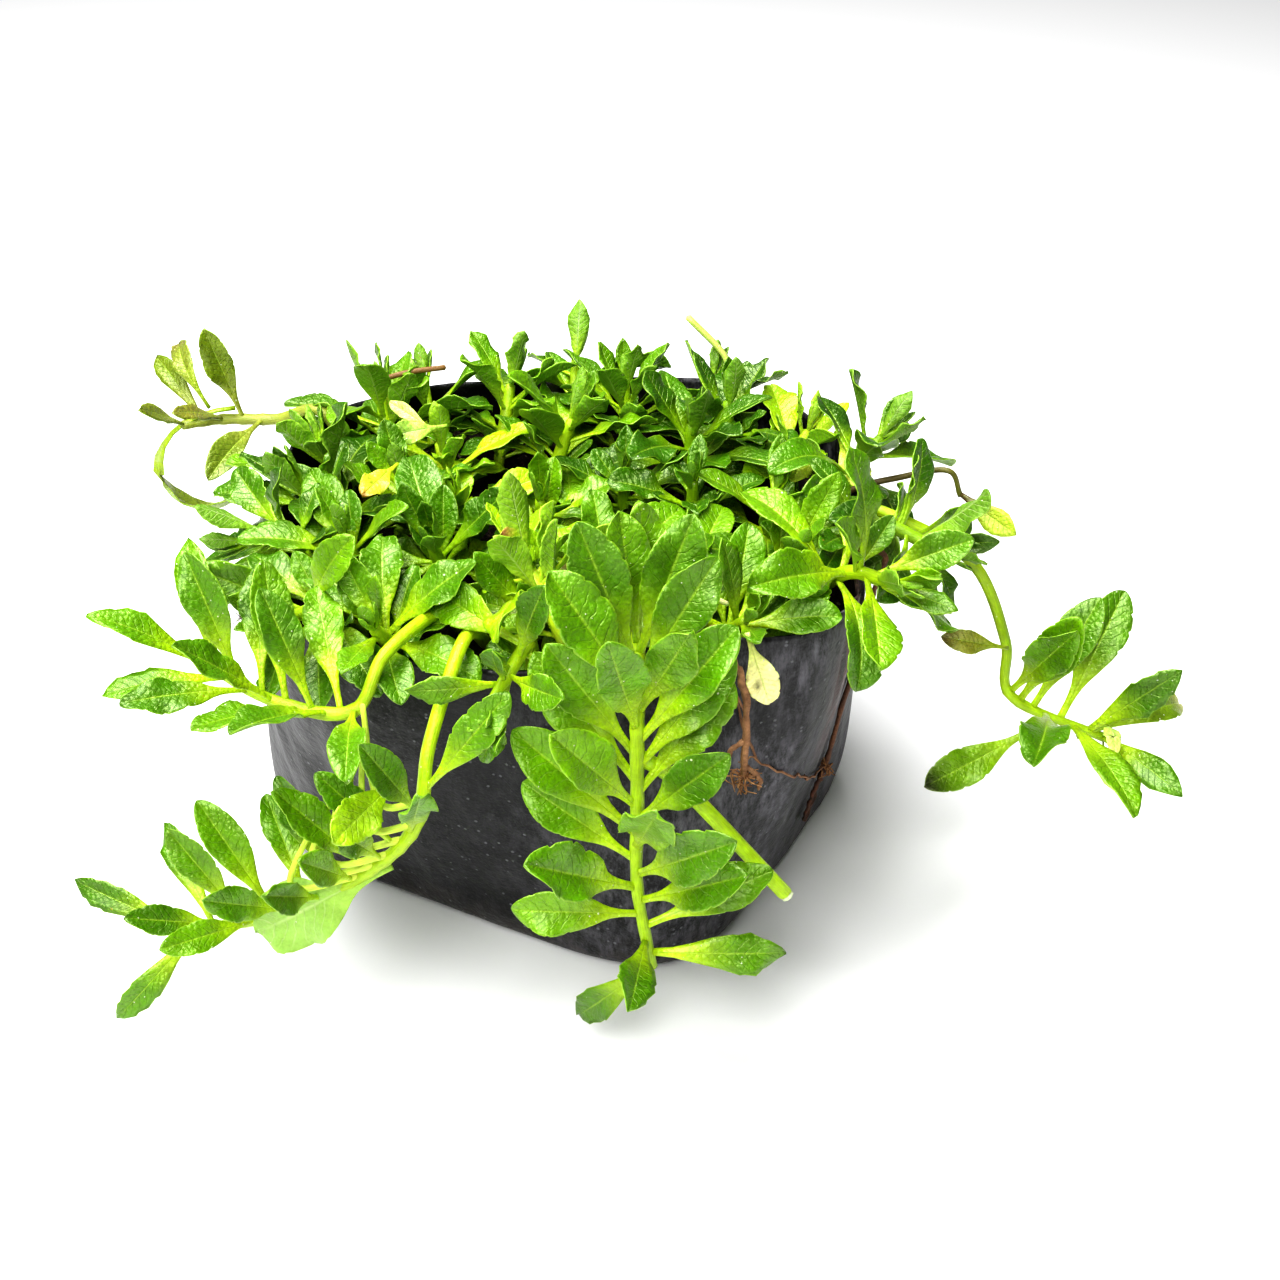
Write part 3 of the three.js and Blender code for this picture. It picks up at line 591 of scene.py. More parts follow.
def stem_route(stem):
    route = stem.get("route") or [stem[key] for key in ("over", "tip") if key in stem]
    return [(*stem["root"], SOIL_HEIGHT + SOIL_DOME + 1), *route]


def point_along(line, distance):
    points, lengths = line["points"], line["lengths"]
    wanted = min(max(distance, 0), lengths[-1])
    i = 1
    while i < len(points) - 1 and lengths[i] < wanted:
        i += 1
    share = (wanted - lengths[i - 1]) / (lengths[i] - lengths[i - 1])
    return points[i - 1] + (points[i] - points[i - 1]) * share, unit_of(points[i] - points[i - 1])


def square_to(direction, wish):
    return unit_of(wish - direction * (wish @ direction))


def leaf_plans(stem, line):
    draw = draws_from(stem["seed"])

    def wander(reach):
        return (draw() - 0.5) * reach

    phase = draw() * 2 * math.pi
    hanging = "light" in stem
    habit = HABITS["hanging" if hanging else "crown"]
    light = unit_of(np.array(stem.get("light", UP), float))
    reach = stem.get("reach", CROWN_REACH)
    spread_by = habit["spread"] * (NARROW_SHARE if "narrow" in stem else 1)
    plans = []
    for index in range(stem["leaves"]):
        younger = stem["leaves"] - 1 - index
        age = younger / max(1, stem["leaves"] - 1)
        filled = habit["bud"] + (1 - habit["bud"]) * min(1, habit["filling"] * age)
        distance = reach * age + 1
        point, axis = point_along(line, line["lengths"][-1] - distance)
        plan = {"age": age, "point": point, "axis": axis, "distance": distance}
        plan |= {"light": light, "hanging": hanging}
        plan["form"] = "full" if younger > 2 else "young" if hanging or younger == 2 else "bud"
        plan["size"] = stem["size"] * filled * (1 + wander(SIZE_WANDER))
        tilt = SIDE_TILT + wander(SIDE_WANDER)
        on_side = math.pi - tilt if index % 2 else tilt
        on_spiral = phase + index * LEAF_TURN + wander(SPIRAL_WANDER)
        plan["bearing"] = on_side if hanging else on_spiral
        plan["opening"] = habit["opening"] + spread_by * age ** habit["ageing"]
        plan["rise"] = habit["rise"] + stem.get("rise", 0) * math.sqrt(age)
        plan["breadth"] = stem.get("breadth", habit["breadth"])
        plan["curl"] = habit["curl"] - habit["uncurl"] * age + wander(CURL_WANDER)
        plan["twist"] = wander(TWIST_WANDER)
        plan["wave"] = wander(WAVE_WANDER)
        plan["fold"] = LEAST_FOLD + FOLD_WANDER * draw()
        plan["flip"] = -1 if draw() < 0.5 else 1
        plans.append(plan)
    return plans


def leaf_line(plan, turn, lift, size_share):
    """The middle line of a leaf, turned, lifted and shrunk as its solid was to bend it clear."""
    axis = plan["axis"]
    sideways = np.array([1.0, 0, 0] if abs(axis[0]) < LEVEL_AXIS else [0, 1.0, 0])
    north = square_to(axis, plan["light"] if plan["hanging"] else sideways)
    east = np.cross(north, axis)
    bearing = plan["bearing"] + turn
    outward = east * math.cos(bearing) + north * math.sin(bearing)
    opening = plan["opening"] + lift * (LEAST_GIVE + (1 - LEAST_GIVE) * plan["age"])
    start = unit_of(axis * math.cos(opening) + outward * math.sin(opening) + UP * plan["rise"])
    up_share, axis_share, outward_share = CROWN_FACING.values()
    crown_wish = UP * up_share + axis * axis_share + outward * outward_share
    facing = square_to(start, plan["light"] if plan["hanging"] else crown_wish)
    length = plan["size"] * size_share
    angles = plan["curl"] * ((np.arange(CURVE_STEPS) + 0.5) / CURVE_STEPS) ** CURL_POWER
    steps = start * np.cos(angles)[:, None] + facing * np.sin(angles)[:, None]
    points = np.vstack([plan["point"], plan["point"] + np.cumsum(steps, axis=0) * length / CURVE_STEPS])
    return {"points": points, "facing": facing, "width": length * plan["breadth"]}


def leaf_points(line, plan, share, sideways, height):
    """Points of a leaf, by their shares of its length and their places beside and above its middle line."""
    points = line["points"]
    place = share * CURVE_STEPS
    i = np.minimum(place.astype(int), CURVE_STEPS - 1)
    centre = points[i] + (points[i + 1] - points[i]) * (place - i)[:, None]
    along = points[i + 1] - points[i]
    along /= np.linalg.norm(along, axis=1, keepdims=True)
    normal = line["facing"] - along * (along @ line["facing"])[:, None]
    normal /= np.linalg.norm(normal, axis=1, keepdims=True)
    flat = np.cross(along, normal)
    turned = (plan["twist"] * share)[:, None]
    across = flat * np.cos(turned) + normal * np.sin(turned)
    top = normal * np.cos(turned) - flat * np.sin(turned)
    return centre + across * sideways[:, None] + top * height[:, None]


def solid_corners(line, plan):
    """The corners of the solid leaf on this middle line."""
    left, right, first = SOLID_EDGES[plan["form"]]
    outlines = [left, right] if plan["flip"] > 0 else [right, left]
    rows = [(1, 0, 0)]
    for hand, outline in zip((1, -1), outlines):
        for index, (share, half) in enumerate(outline, first):
            width = half * line["width"]
            wave = plan["wave"] * line["width"] * (1 if index % 2 else -1) if share > WAVE_START else 0
            rows.append((share, hand * width, plan["fold"] * width + wave * hand))
    return leaf_points(line, plan, *np.array(rows, float).T)


def kept_line(plan, corners_there):
    """The middle line of the leaf's solid, found by its corners, or None where there is no such solid."""
    best, most = None, 0.5
    for size_share in TRY_SIZES:
        for lift in TRY_LIFTS:
            for turn in TRY_TURNS:
                line = leaf_line(plan, turn, lift, size_share)
                corners = solid_corners(line, plan)
                near = [corners_there.find(corner)[2] < MATCH_REACH for corner in corners]
                share = sum(near) / len(near)
                if share > most:
                    best, most = line, share
                if most > 0.9:
                    return best
    return best


def corners_of(node):
    """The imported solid's corners, in millimetres, ready to be searched."""
    places = places_of(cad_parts[node]) / MM
    tree = kdtree.KDTree(len(places))
    for number, place in enumerate(places):
        tree.insert(place, number)
    tree.balance()
    return tree


# Growing a piece
# Blades and round stems are gathered into one mesh. Every vertex carries its colour and which side of
# a leaf it is on, and the leaf's own map runs across the blade and from its stalk to its tip.
SPOT_COLOUR = (0.012, 0.006, 0.003)
STALK_SHARE = 0.2
BLADE_SHARE = 0.55
RUFFLE_MIDDLE = 0.725
RUFFLE_LENGTH = 0.165
NODE_SWELL = 0.2
NODE_REACH = 1.8
STEM_SIDES = 12


def new_growth():
    return {"places": [], "faces": [], "colours": [], "unders": [], "maps": [], "slots": [], "count": 0}


def gather(growth, places, faces, colours, unders, maps, slot):
    growth["faces"] += [tuple(growth["count"] + corner for corner in face) for face in faces]
    growth["slots"] += [slot] * len(faces)
    growth["count"] += len(places)
    for key, values in (("places", places), ("colours", colours), ("unders", unders), ("maps", maps)):
        growth[key].append(values)


def finish_growth(name, growth, finishes):
    places = np.vstack(growth["places"]) * MM
    mesh = bpy.data.meshes.new(name)
    mesh.from_pydata(places.tolist(), [], growth["faces"])
    colours = mesh.attributes.new("growth_colour", "FLOAT_COLOR", "POINT")
    colours.data.foreach_set("color", np.vstack(growth["colours"]).ravel())
    unders = mesh.attributes.new("underside", "FLOAT", "POINT")
    unders.data.foreach_set("value", np.concatenate(growth["unders"]))
    corners = np.empty(len(mesh.loops), int)
    mesh.loops.foreach_get("vertex_index", corners)
    layer = mesh.uv_layers.new(name="leaf_map")
    layer.data.foreach_set("uv", np.vstack(growth["maps"])[corners].ravel())
    mesh.polygons.foreach_set("material_index", growth["slots"])
    mesh.polygons.foreach_set("use_smooth", [True] * len(mesh.polygons))
    for finish in finishes:
        mesh.materials.append(finish)
    piece = bpy.data.objects.new(name, mesh)
    bpy.context.collection.objects.link(piece)
    return piece


def mixed(first, second, share):
    """Colours between two, one for each share."""
    share = np.asarray(share)[..., None]
    return np.asarray(first) * (1 - share) + np.asarray(second) * share


def grow_leaf(growth, line, plan, look):
    """Bends a leaf pattern along a middle line. look holds the leaf's colours and small differences."""
    pattern = FULL_LEAF if plan["form"] == "full" else YOUNG_LEAF
    share, across, side = pattern["share"], pattern["across"], pattern["side"]
    hand = np.sign(across)
    blade = eased(share, STALK_SHARE, BLADE_SHARE)
    slide = look["slide"] * hand * plan["flip"] * np.abs(across) * np.sin(np.pi * share) ** 2 * blade
    share = np.clip(share + slide, 0, 1)
    half = (pattern["half"] - look["teeth"] * pattern["notch"]) * line["width"]
    half = half * (1 + look["lopside"] * hand * blade)
    sideways = across * half
    fold = plan["fold"] * half * (1.35 * np.abs(across) - 0.35 * across**2) * blade
    ruffle = np.cos(np.pi * (share - RUFFLE_MIDDLE) / RUFFLE_LENGTH) * hand * across**2
    flutter = np.sin(look["flutter_turns"] * share + look["flutter_start"] + hand) * across**2
    wave = (plan["wave"] * ruffle + look["flutter"] * flutter) * line["width"] * blade
    quilt = look["quilt"] * np.sin(31 * share - 4 * np.abs(across)) * (1 - across**2) * np.abs(across) * blade
    round_off = np.sqrt(np.maximum(0, 1 - 0.97 * across**2))
    thick = mixed([STALK_HALF], [EDGE_HALF + BLADE_HALF], blade)[:, 0] * round_off + EDGE_HALF * blade
    thick = np.maximum(thick * np.minimum(1, half / 0.6), EDGE_HALF)
    rib = RIB_DEPTH * bump_at(across, 0, 0.14) * (1 - share) * blade
    height = fold + wave + quilt + side * thick - np.where(side < 0, rib, 0.35 * rib)
    places = leaf_points(line, plan, share, sideways, height)
    stalk = 1 - eased(share, STALK_SHARE, 0.62)
    vein = 0.55 * bump_at(across, 0, 0.1) * (1 - 0.7 * share) * blade
    colours = mixed(look["blade"], look["stalk"], np.clip(stalk + vein * 0.4, 0, 1))
    colours = mixed(colours, look["tip"], eased(share, 0.72, 1.0) * look["tip_share"])
    if "spot" in look:
        colours = mixed(colours, SPOT_COLOUR, bump_at(np.hypot(share - 0.68, across * 0.2 - 0.08), 0, 0.05))
    colours = np.hstack([colours, np.ones((len(colours), 1))])
    under = np.where(side * look["face"] < 0, 1.0, 0.0)
    maps = np.stack([0.5 + 0.5 * across, share], axis=1)
    gather(growth, places, pattern["faces"], colours, under, maps, 0)


def grow_single(growth, leaf, draws):
    """One leaf of its own place and colour. A pale leaf shows the side that its face says."""
    start = unit_of(np.array(leaf["toward"], float))
    plan = {"age": 1, "form": "full", "point": np.array(leaf["place"], float), "axis": start, "bearing": 0}
    plan |= {"light": unit_of(np.array(leaf["light"], float)), "hanging": True, "opening": 0, "rise": 0}
    plan |= {"breadth": leaf.get("breadth", 1), "size": leaf["size"], "curl": leaf.get("curl", -0.3)}
    plan |= {"twist": leaf.get("twist", 0.2), "wave": 0.04, "fold": leaf.get("fold", 0.2), "flip": 1}
    look = leaf_look(draws, "mid", 0)
    blade = plain(*leaf["blade"])
    look |= {"blade": blade, "stalk": mixed(blade, look["stalk"], 0.5), "face": leaf.get("face", 1)}
    look |= {"tip": plain(*leaf.get("end", leaf["blade"])), "tip_share": 1}
    if leaf.get("spot"):
        look["spot"] = True
    grow_leaf(growth, leaf_line(plan, 0, 0, 1), plan, look)


def grow_rod(growth, points, radii, colours, sides=STEM_SIDES, slot=1, ridge=0.05):
    """A round rod along a line of points, with closed ends."""
    points = np.asarray(points, float)
    directions = np.gradient(points, axis=0)
    directions /= np.linalg.norm(directions, axis=1, keepdims=True)
    side = np.array([1.0, 0, 0]) if abs(directions[0][0]) < 0.9 else np.array([0, 1.0, 0])
    angles = np.arange(sides) / sides * 2 * np.pi
    shape = 1 + ridge * np.cos(5 * angles)
    rings = []
    for point, direction, radius in zip(points, directions, radii):
        side = square_to(direction, side)
        other = np.cross(direction, side)
        around = np.cos(angles)[:, None] * side + np.sin(angles)[:, None] * other
        rings.append(point + radius * shape[:, None] * around)
    count = len(points)
    faces = []
    for ring in range(count - 1):
        for i in range(sides):
            a, b = ring * sides + i, ring * sides + (i + 1) % sides
            faces.append((a, b, b + sides, a + sides))
    first, last = count * sides, count * sides + 1
    end = (count - 1) * sides
    for i in range(sides):
        following = (i + 1) % sides
        faces += [(following, i, first), (end + i, end + following, last)]
    caps = [points[0] - directions[0] * radii[0] * 0.3, points[-1] + directions[-1] * radii[-1] * 0.6]
    colours = np.asarray(colours)
    ring_colours = np.repeat(colours, sides, axis=0)
    all_colours = np.vstack([ring_colours, colours[0], colours[-1]])
    all_colours = np.hstack([all_colours, np.ones((len(all_colours), 1))])
    lengths = lengths_of(points)
    turned = np.tile(np.arange(sides) / sides, count)
    maps = np.stack([turned, np.repeat(lengths, sides) / 10], axis=1)
    maps = np.vstack([maps, [0.5, 0], [0.5, lengths[-1] / 10]])
    gather(growth, np.vstack([*rings, *caps]), faces, all_colours, np.zeros(len(all_colours)), maps, slot)


def plain(*colour):
    return np.array(paint(*colour)[:3])


def rows_of(colour, count):
    return np.tile(colour, (count, 1))


# Leaf and stem finishes
# Living leaves are waxy and finely quilted between their veins, pale along the rib and at the very edge,
# and let some light through. Their undersides are paler and dull. Dust and dried drops lie on them.
TONES = {
    "deep": {"blade": [(54, 100, 0), (76, 124, 0), (38, 80, 0)], "stalk": (140, 176, 16)},
    "mid": {"blade": [(82, 130, 0), (110, 156, 0), (58, 104, 0)], "stalk": (172, 202, 24)},
    "lime": {"blade": [(136, 178, 0), (162, 198, 0), (110, 152, 0)], "stalk": (194, 216, 44)},
    "dark": {"blade": [(168, 190, 50), (168, 190, 50), (156, 180, 44)], "stalk": (78, 56, 34)},
    "olive": {"blade": [(118, 138, 24), (96, 112, 30), (132, 122, 58)], "stalk": (150, 158, 62)},
}
LEAF_WAX = {
    "Specular IOR Level": 1.0,
    "Specular Tint": (0.84, 1.0, 0.46, 1.0),
    "Coat Weight": 0.22,
    "Coat Roughness": 0.25,
    "Subsurface Weight": 0.2,
    "Subsurface Radius": (0.5, 1.0, 0.15),
    "Subsurface Scale": 0.0012,
}
STEM_FLESH = {
    "Roughness": 0.42,
    "Subsurface Weight": 0.25,
    "Subsurface Radius": (0.5, 0.9, 0.2),
    "Subsurface Scale": 0.002,
}


def set_inputs(shader, values):
    for name, value in values.items():
        shader.inputs[name].default_value = value


def leaf_finish(name, gloss):
    finish, tree, shader = new_finish(name)
    where = place_in(tree)
    own = grown_colour(tree)
    under = add_node(tree, "ShaderNodeAttribute", attribute_name="underside").outputs["Fac"]
    leaf_map = add_node(tree, "ShaderNodeUVMap", uv_map="leaf_map").outputs[0]
    spot = add_node(tree, "ShaderNodeSeparateXYZ", {0: leaf_map})
    across = times(tree, worked(tree, "ABSOLUTE", worked(tree, "SUBTRACT", spot.outputs[0], 0.5)), 2)
    sway = times(tree, worked(tree, "SUBTRACT", cloud(tree, where, 120, 2), 0.5), 0.12)
    forward = worked(tree, "SUBTRACT", spot.outputs[1], times(tree, across, 0.13))
    count = times(tree, plus(tree, forward, sway), 13)
    from_vein = worked(tree, "PINGPONG", count, 0.5)
    side_vein = times(tree, spread(tree, from_vein, 0.1, 0.0), spread(tree, across, 0.95, 0.5))
    side_vein = times(tree, side_vein, spread(tree, spot.outputs[1], 0.36, 0.5))
    rib = times(tree, spread(tree, across, 0.075, 0.02), spread(tree, spot.outputs[1], 1.0, 0.75))
    margin = times(tree, spread(tree, across, 0.93, 0.985), spread(tree, spot.outputs[1], 0.35, 0.5))
    mottle = spread(tree, cloud(tree, where, 170, 3), 0.3, 0.7, 0.76, 1.16)
    fine = spread(tree, cloud(tree, where, 1100, 3, 0.65), 0.3, 0.7, 0.86, 1.14)
    shade = times(tree, mottle, fine)
    blade = shaded(tree, own, shade)
    top = blended(tree, times(tree, side_vein, 0.08), blade, paint(160, 200, 50))
    top = blended(tree, times(tree, rib, 0.35), top, paint(176, 210, 70))
    below = blended(tree, 0.4, blade, paint(140, 184, 60))
    veined = times(tree, worked(tree, "MAXIMUM", side_vein, rib), 0.45)
    below = blended(tree, veined, below, paint(198, 216, 150))
    both = blended(tree, under, top, below)
    edged = blended(tree, times(tree, margin, 0.35), both, paint(176, 210, 70))
    blemish = spread(tree, cloud(tree, where, 210, 4, 0.6), 0.735, 0.77)
    marked = blended(tree, times(tree, blemish, 0.7), edged, paint(150, 112, 48))
    dust = worked(tree, "MAXIMUM", specks(tree, where, 520, 0.17, 0.1), specks(tree, where, 240, 0.12, 0.07))
    dusty = blended(tree, times(tree, dust, 0.8), marked, paint(232, 236, 214))
    tree.links.new(dusty, shader.inputs["Base Color"])
    worn = spread(tree, cloud(tree, where, 700, 3), 0.3, 0.7, gloss - 0.07, gloss + 0.1)
    rough = plus(tree, worn, times(tree, under, 0.2))
    tree.links.new(plus(tree, rough, times(tree, dust, 0.3)), shader.inputs["Roughness"])
    set_inputs(shader, LEAF_WAX)
    cells = add_node(tree, "ShaderNodeTexVoronoi", {"Vector": where, "Scale": 620})
    puckered = times(tree, cells.outputs["Distance"], -0.8)
    quilt = plus(tree, puckered, times(tree, cloud(tree, where, 1500, 2), 0.4))
    grooved = worked(tree, "SUBTRACT", quilt, times(tree, plus(tree, side_vein, rib), 0.5))
    raised(tree, shader, plus(tree, grooved, times(tree, dust, 0.5)), 0.0006, 0.75)
    return finish


def stem_finish():
    finish, tree, shader = new_finish("living stem skin")
    where = place_in(tree)
    own = grown_colour(tree)
    spot = add_node(tree, "ShaderNodeUVMap", uv_map="leaf_map").outputs[0]
    lines = cloud(tree, stretched(tree, spot, (14, 0.7, 1)), 2.2, 3, 0.6)
    mottle = spread(tree, cloud(tree, where, 240, 4), 0.3, 0.7, 0.84, 1.14)
    shade = times(tree, mottle, spread(tree, lines, 0.3, 0.7, 0.82, 1.16))
    skin = shaded(tree, own, shade)
    flecks = times(tree, specks(tree, where, 420, 0.16, 0.12), 0.7)
    flecked = blended(tree, flecks, skin, paint(226, 226, 190))
    tree.links.new(flecked, shader.inputs["Base Color"])
    set_inputs(shader, STEM_FLESH)
    raised(tree, shader, plus(tree, lines, cloud(tree, where, 900, 2)), 0.0005, 0.5)
    return finish


LEAF_FINISHES = {
    "deep": leaf_finish("deep green leaf", 0.34),
    "mid": leaf_finish("green leaf", 0.38),
    "lime": leaf_finish("lime green leaf", 0.42),
    "dark": leaf_finish("yellowing leaf", 0.5),
}
STEM_SKIN = stem_finish()


def leaf_look(draws, tone, youth):
    """Small differences between one leaf and the next. youth runs from 0 for an old leaf to 1 for a bud."""
    usual, bright, deep = [plain(*colour) for colour in TONES[tone]["blade"]]
    pick = draws.uniform(-1, 1)
    blade = mixed(usual, bright if pick > 0 else deep, abs(pick))
    blade = mixed(blade, bright, 0.35 * youth)
    stalk = plain(*TONES[tone]["stalk"])
    return {
        "blade": blade * draws.uniform(0.9, 1.1),
        "stalk": stalk * draws.uniform(0.9, 1.08),
        "tip": blade,
        "tip_share": 0,
        "teeth": draws.uniform(0.1, 1.1),
        "slide": draws.uniform(0.01, 0.035),
        "lopside": draws.uniform(-0.07, 0.07),
        "flutter": draws.uniform(0.006, 0.03),
        "flutter_turns": draws.uniform(9, 17),
        "flutter_start": draws.uniform(0, 6.3),
        "quilt": draws.uniform(0.2, 0.5),
        "face": 1,
    }


# Stems of the crown
# Some thirty-four leafy stems stand close together in the bag and make the mat of leaves. root is where a
# stem leaves the soil, over is where it passes the rim, and tip is its end. The outer leaves of a narrow stem
# open less.
STEM_RADIUS = 2.3
TIP_SHARE = 0.7
HOLE_DEPTH = 13


def crown_stem(name, root, tip, leaves, size, tone, **more):
    return {"name": name, "root": root, "tip": tip, "leaves": leaves, "size": size, "tone": tone} | more


CROWN_STEMS = [
    crown_stem("back_left_stem", (-30, 60), (-25, 75, 155), 9, 40, "mid", narrow=True),
    crown_stem("back_centre_left_stem", (-10, 40), (0, 45, 155), 10, 42, "mid"),
    crown_stem("back_centre_stem", (20, 65), (20, 75, 155), 9, 38, "mid", narrow=True),
    crown_stem("back_right_tall_stem", (45, 35), (45, 30, 160), 10, 43, "deep", narrow=True),
    crown_stem("back_right_stem", (60, 55), (60, 60, 155), 9, 40, "deep", narrow=True),
    crown_stem("back_right_yellow_stem", (80, 40), (90, 45, 150), 8, 38, "lime"),
    crown_stem("right_rim_stem", (85, 10), (115, 20, 160), 10, 40, "deep"),
    crown_stem("hidden_back_left_stem", (-55, 65), (-60, 85, 150), 5, 38, "mid"),
    crown_stem("hidden_back_stem", (0, 75), (0, 100, 155), 6, 38, "mid", over=(0, 85, 145)),
    crown_stem("hidden_back_right_stem", (50, 75), (55, 90, 150), 5, 38, "deep"),
    crown_stem("left_back_stem", (-70, 45), (-75, 65, 155), 8, 42, "mid"),
    crown_stem("left_edge_back_stem", (-85, 20), (-95, 35, 150), 8, 38, "mid"),
    crown_stem("middle_pale_stem", (-45, 25), (-50, 35, 150), 6, 35, "lime"),
    crown_stem("middle_lime_stem", (-35, -5), (-40, -10, 150), 6, 35, "lime"),
    crown_stem("middle_stem", (-10, 0), (-10, -10, 150), 7, 38, "mid"),
    crown_stem("middle_back_stem", (20, 15), (20, 10, 150), 7, 36, "deep"),
    crown_stem("middle_rosette_stem", (45, 0), (45, -5, 155), 8, 33, "deep"),
    crown_stem("front_rosette_stem", (15, -45), (15, -60, 150), 10, 42, "mid"),
    crown_stem("right_middle_stem", (70, -5), (75, -5, 150), 7, 36, "mid"),
    crown_stem("right_glossy_stem", (70, -35), (80, -45, 150), 8, 43, "mid"),
    crown_stem(
        "right_rosette_stem", (80, -50), (110, -75, 155), 11, 45, "mid", over=(95, -60, 150), reach=28,
    ),
    crown_stem("right_edge_stem", (85, -25), (130, -45, 150), 9, 38, "deep", over=(105, -35, 155)),
    crown_stem("front_right_stem", (40, -45), (45, -55, 150), 7, 38, "mid"),
    crown_stem("front_right_rim_stem", (50, -70), (60, -90, 150), 8, 42, "mid"),
    crown_stem("left_glossy_stem", (-75, -10), (-95, -10, 155), 8, 45, "deep"),
    crown_stem("left_edge_stem", (-85, -30), (-110, -40, 150), 9, 40, "deep", over=(-95, -35, 150), reach=26),
    crown_stem("left_middle_stem", (-70, -35), (-75, -45, 155), 7, 38, "mid"),
    crown_stem("left_centre_stem", (-55, 0), (-60, -5, 155), 7, 38, "mid"),
    crown_stem("left_front_glossy_stem", (-40, -35), (-45, -50, 155), 8, 42, "deep"),
    crown_stem("left_front_stem", (-55, -75), (-60, -95, 150), 9, 40, "mid"),
    crown_stem(
        "left_front_rim_stem", (-70, -60), (-90, -90, 150), 9, 40, "mid", over=(-80, -75, 145), reach=26,
    ),
    crown_stem("front_rim_stem", (-5, -65), (-10, -85, 150), 8, 40, "mid"),
    crown_stem(
        "front_left_tip_stem", (-10, -85), (-20, -130, 145), 8, 38, "mid", over=(-10, -105, 150), reach=26,
    ),
    crown_stem("front_lime_stem", (5, -85), (-15, -70, 165), 6, 40, "lime", over=(0, -95, 150), radius=3),
]


# Stems that hang over the rim
# Five of them trail down the bag or reach out from it, and one old dark stem holds a single leaf. reach is
# how far up from its end a stem bears leaves, light is where they turn, and rise is how strongly the older
# ones grow up again. breadth is the leaves' width, as a share of the usual. cut is a pruned side shoot.
TRAILING_STEMS = [
    dict(
        name="front_trail", root=(20, -70),
        route=[
            (25, -95, 150), (25, -120, 150), (25, -130, 135), (25, -130, 105), (25, -135, 75), (30, -140, 45),
        ],
        light=(0, -0.8, 0.6), leaves=26, reach=125, rise=2.2, size=50, breadth=0.8, tone="mid",
        cut=dict(route=[(25, -130, 125), (40, -120, 105), (75, -120, 60)], radius=2.6),
    ),
    dict(
        name="left_front_trail", root=(-25, -70),
        route=[
            (-30, -100, 150), (-40, -130, 130), (-45, -140, 105), (-65, -135, 80), (-95, -125, 55),
            (-135, -105, 30),
        ],
        light=(0.2, -0.75, 0.6), leaves=18, reach=135, rise=1.7, size=44, breadth=0.65, tone="mid",
    ),
    dict(
        name="left_trail", root=(-35, -60),
        route=[(-40, -85, 150), (-55, -110, 150), (-65, -120, 135), (-90, -115, 135), (-115, -100, 140)],
        light=(0, -0.45, 0.9), leaves=13, reach=55, rise=0.3, size=44, breadth=0.7, tone="mid",
    ),
    dict(
        name="right_trail", root=(85, -5),
        route=[
            (100, -15, 150), (120, -25, 150), (145, -30, 135), (160, -25, 100), (165, -25, 75),
            (200, -30, 60),
        ],
        light=(0, -0.7, 0.7), leaves=8, reach=40, rise=1.5, size=50, breadth=0.75, tone="mid",
    ),
    dict(
        name="curled_sprig", root=(-80, 40),
        route=[(-95, 50, 155), (-115, 55, 150), (-135, 55, 150), (-150, 50, 150)], light=(0, -0.6, 0.8),
        leaves=5, reach=30, rise=0.4, size=38, breadth=0.65, tone="mid", looks="olive",
    ),
    dict(
        name="dark_stem", root=(90, 0),
        route=[(100, -5, 150), (120, -10, 160), (135, -15, 165), (140, -15, 155)], light=(0, -0.9, 0.3),
        leaves=1, reach=1, rise=0, size=30, radius=1.2, tone="dark",
    ),
]


def single_leaf(place, toward, light, size, blade, **more):
    return {"place": place, "toward": toward, "light": light, "size": size, "blade": blade} | more


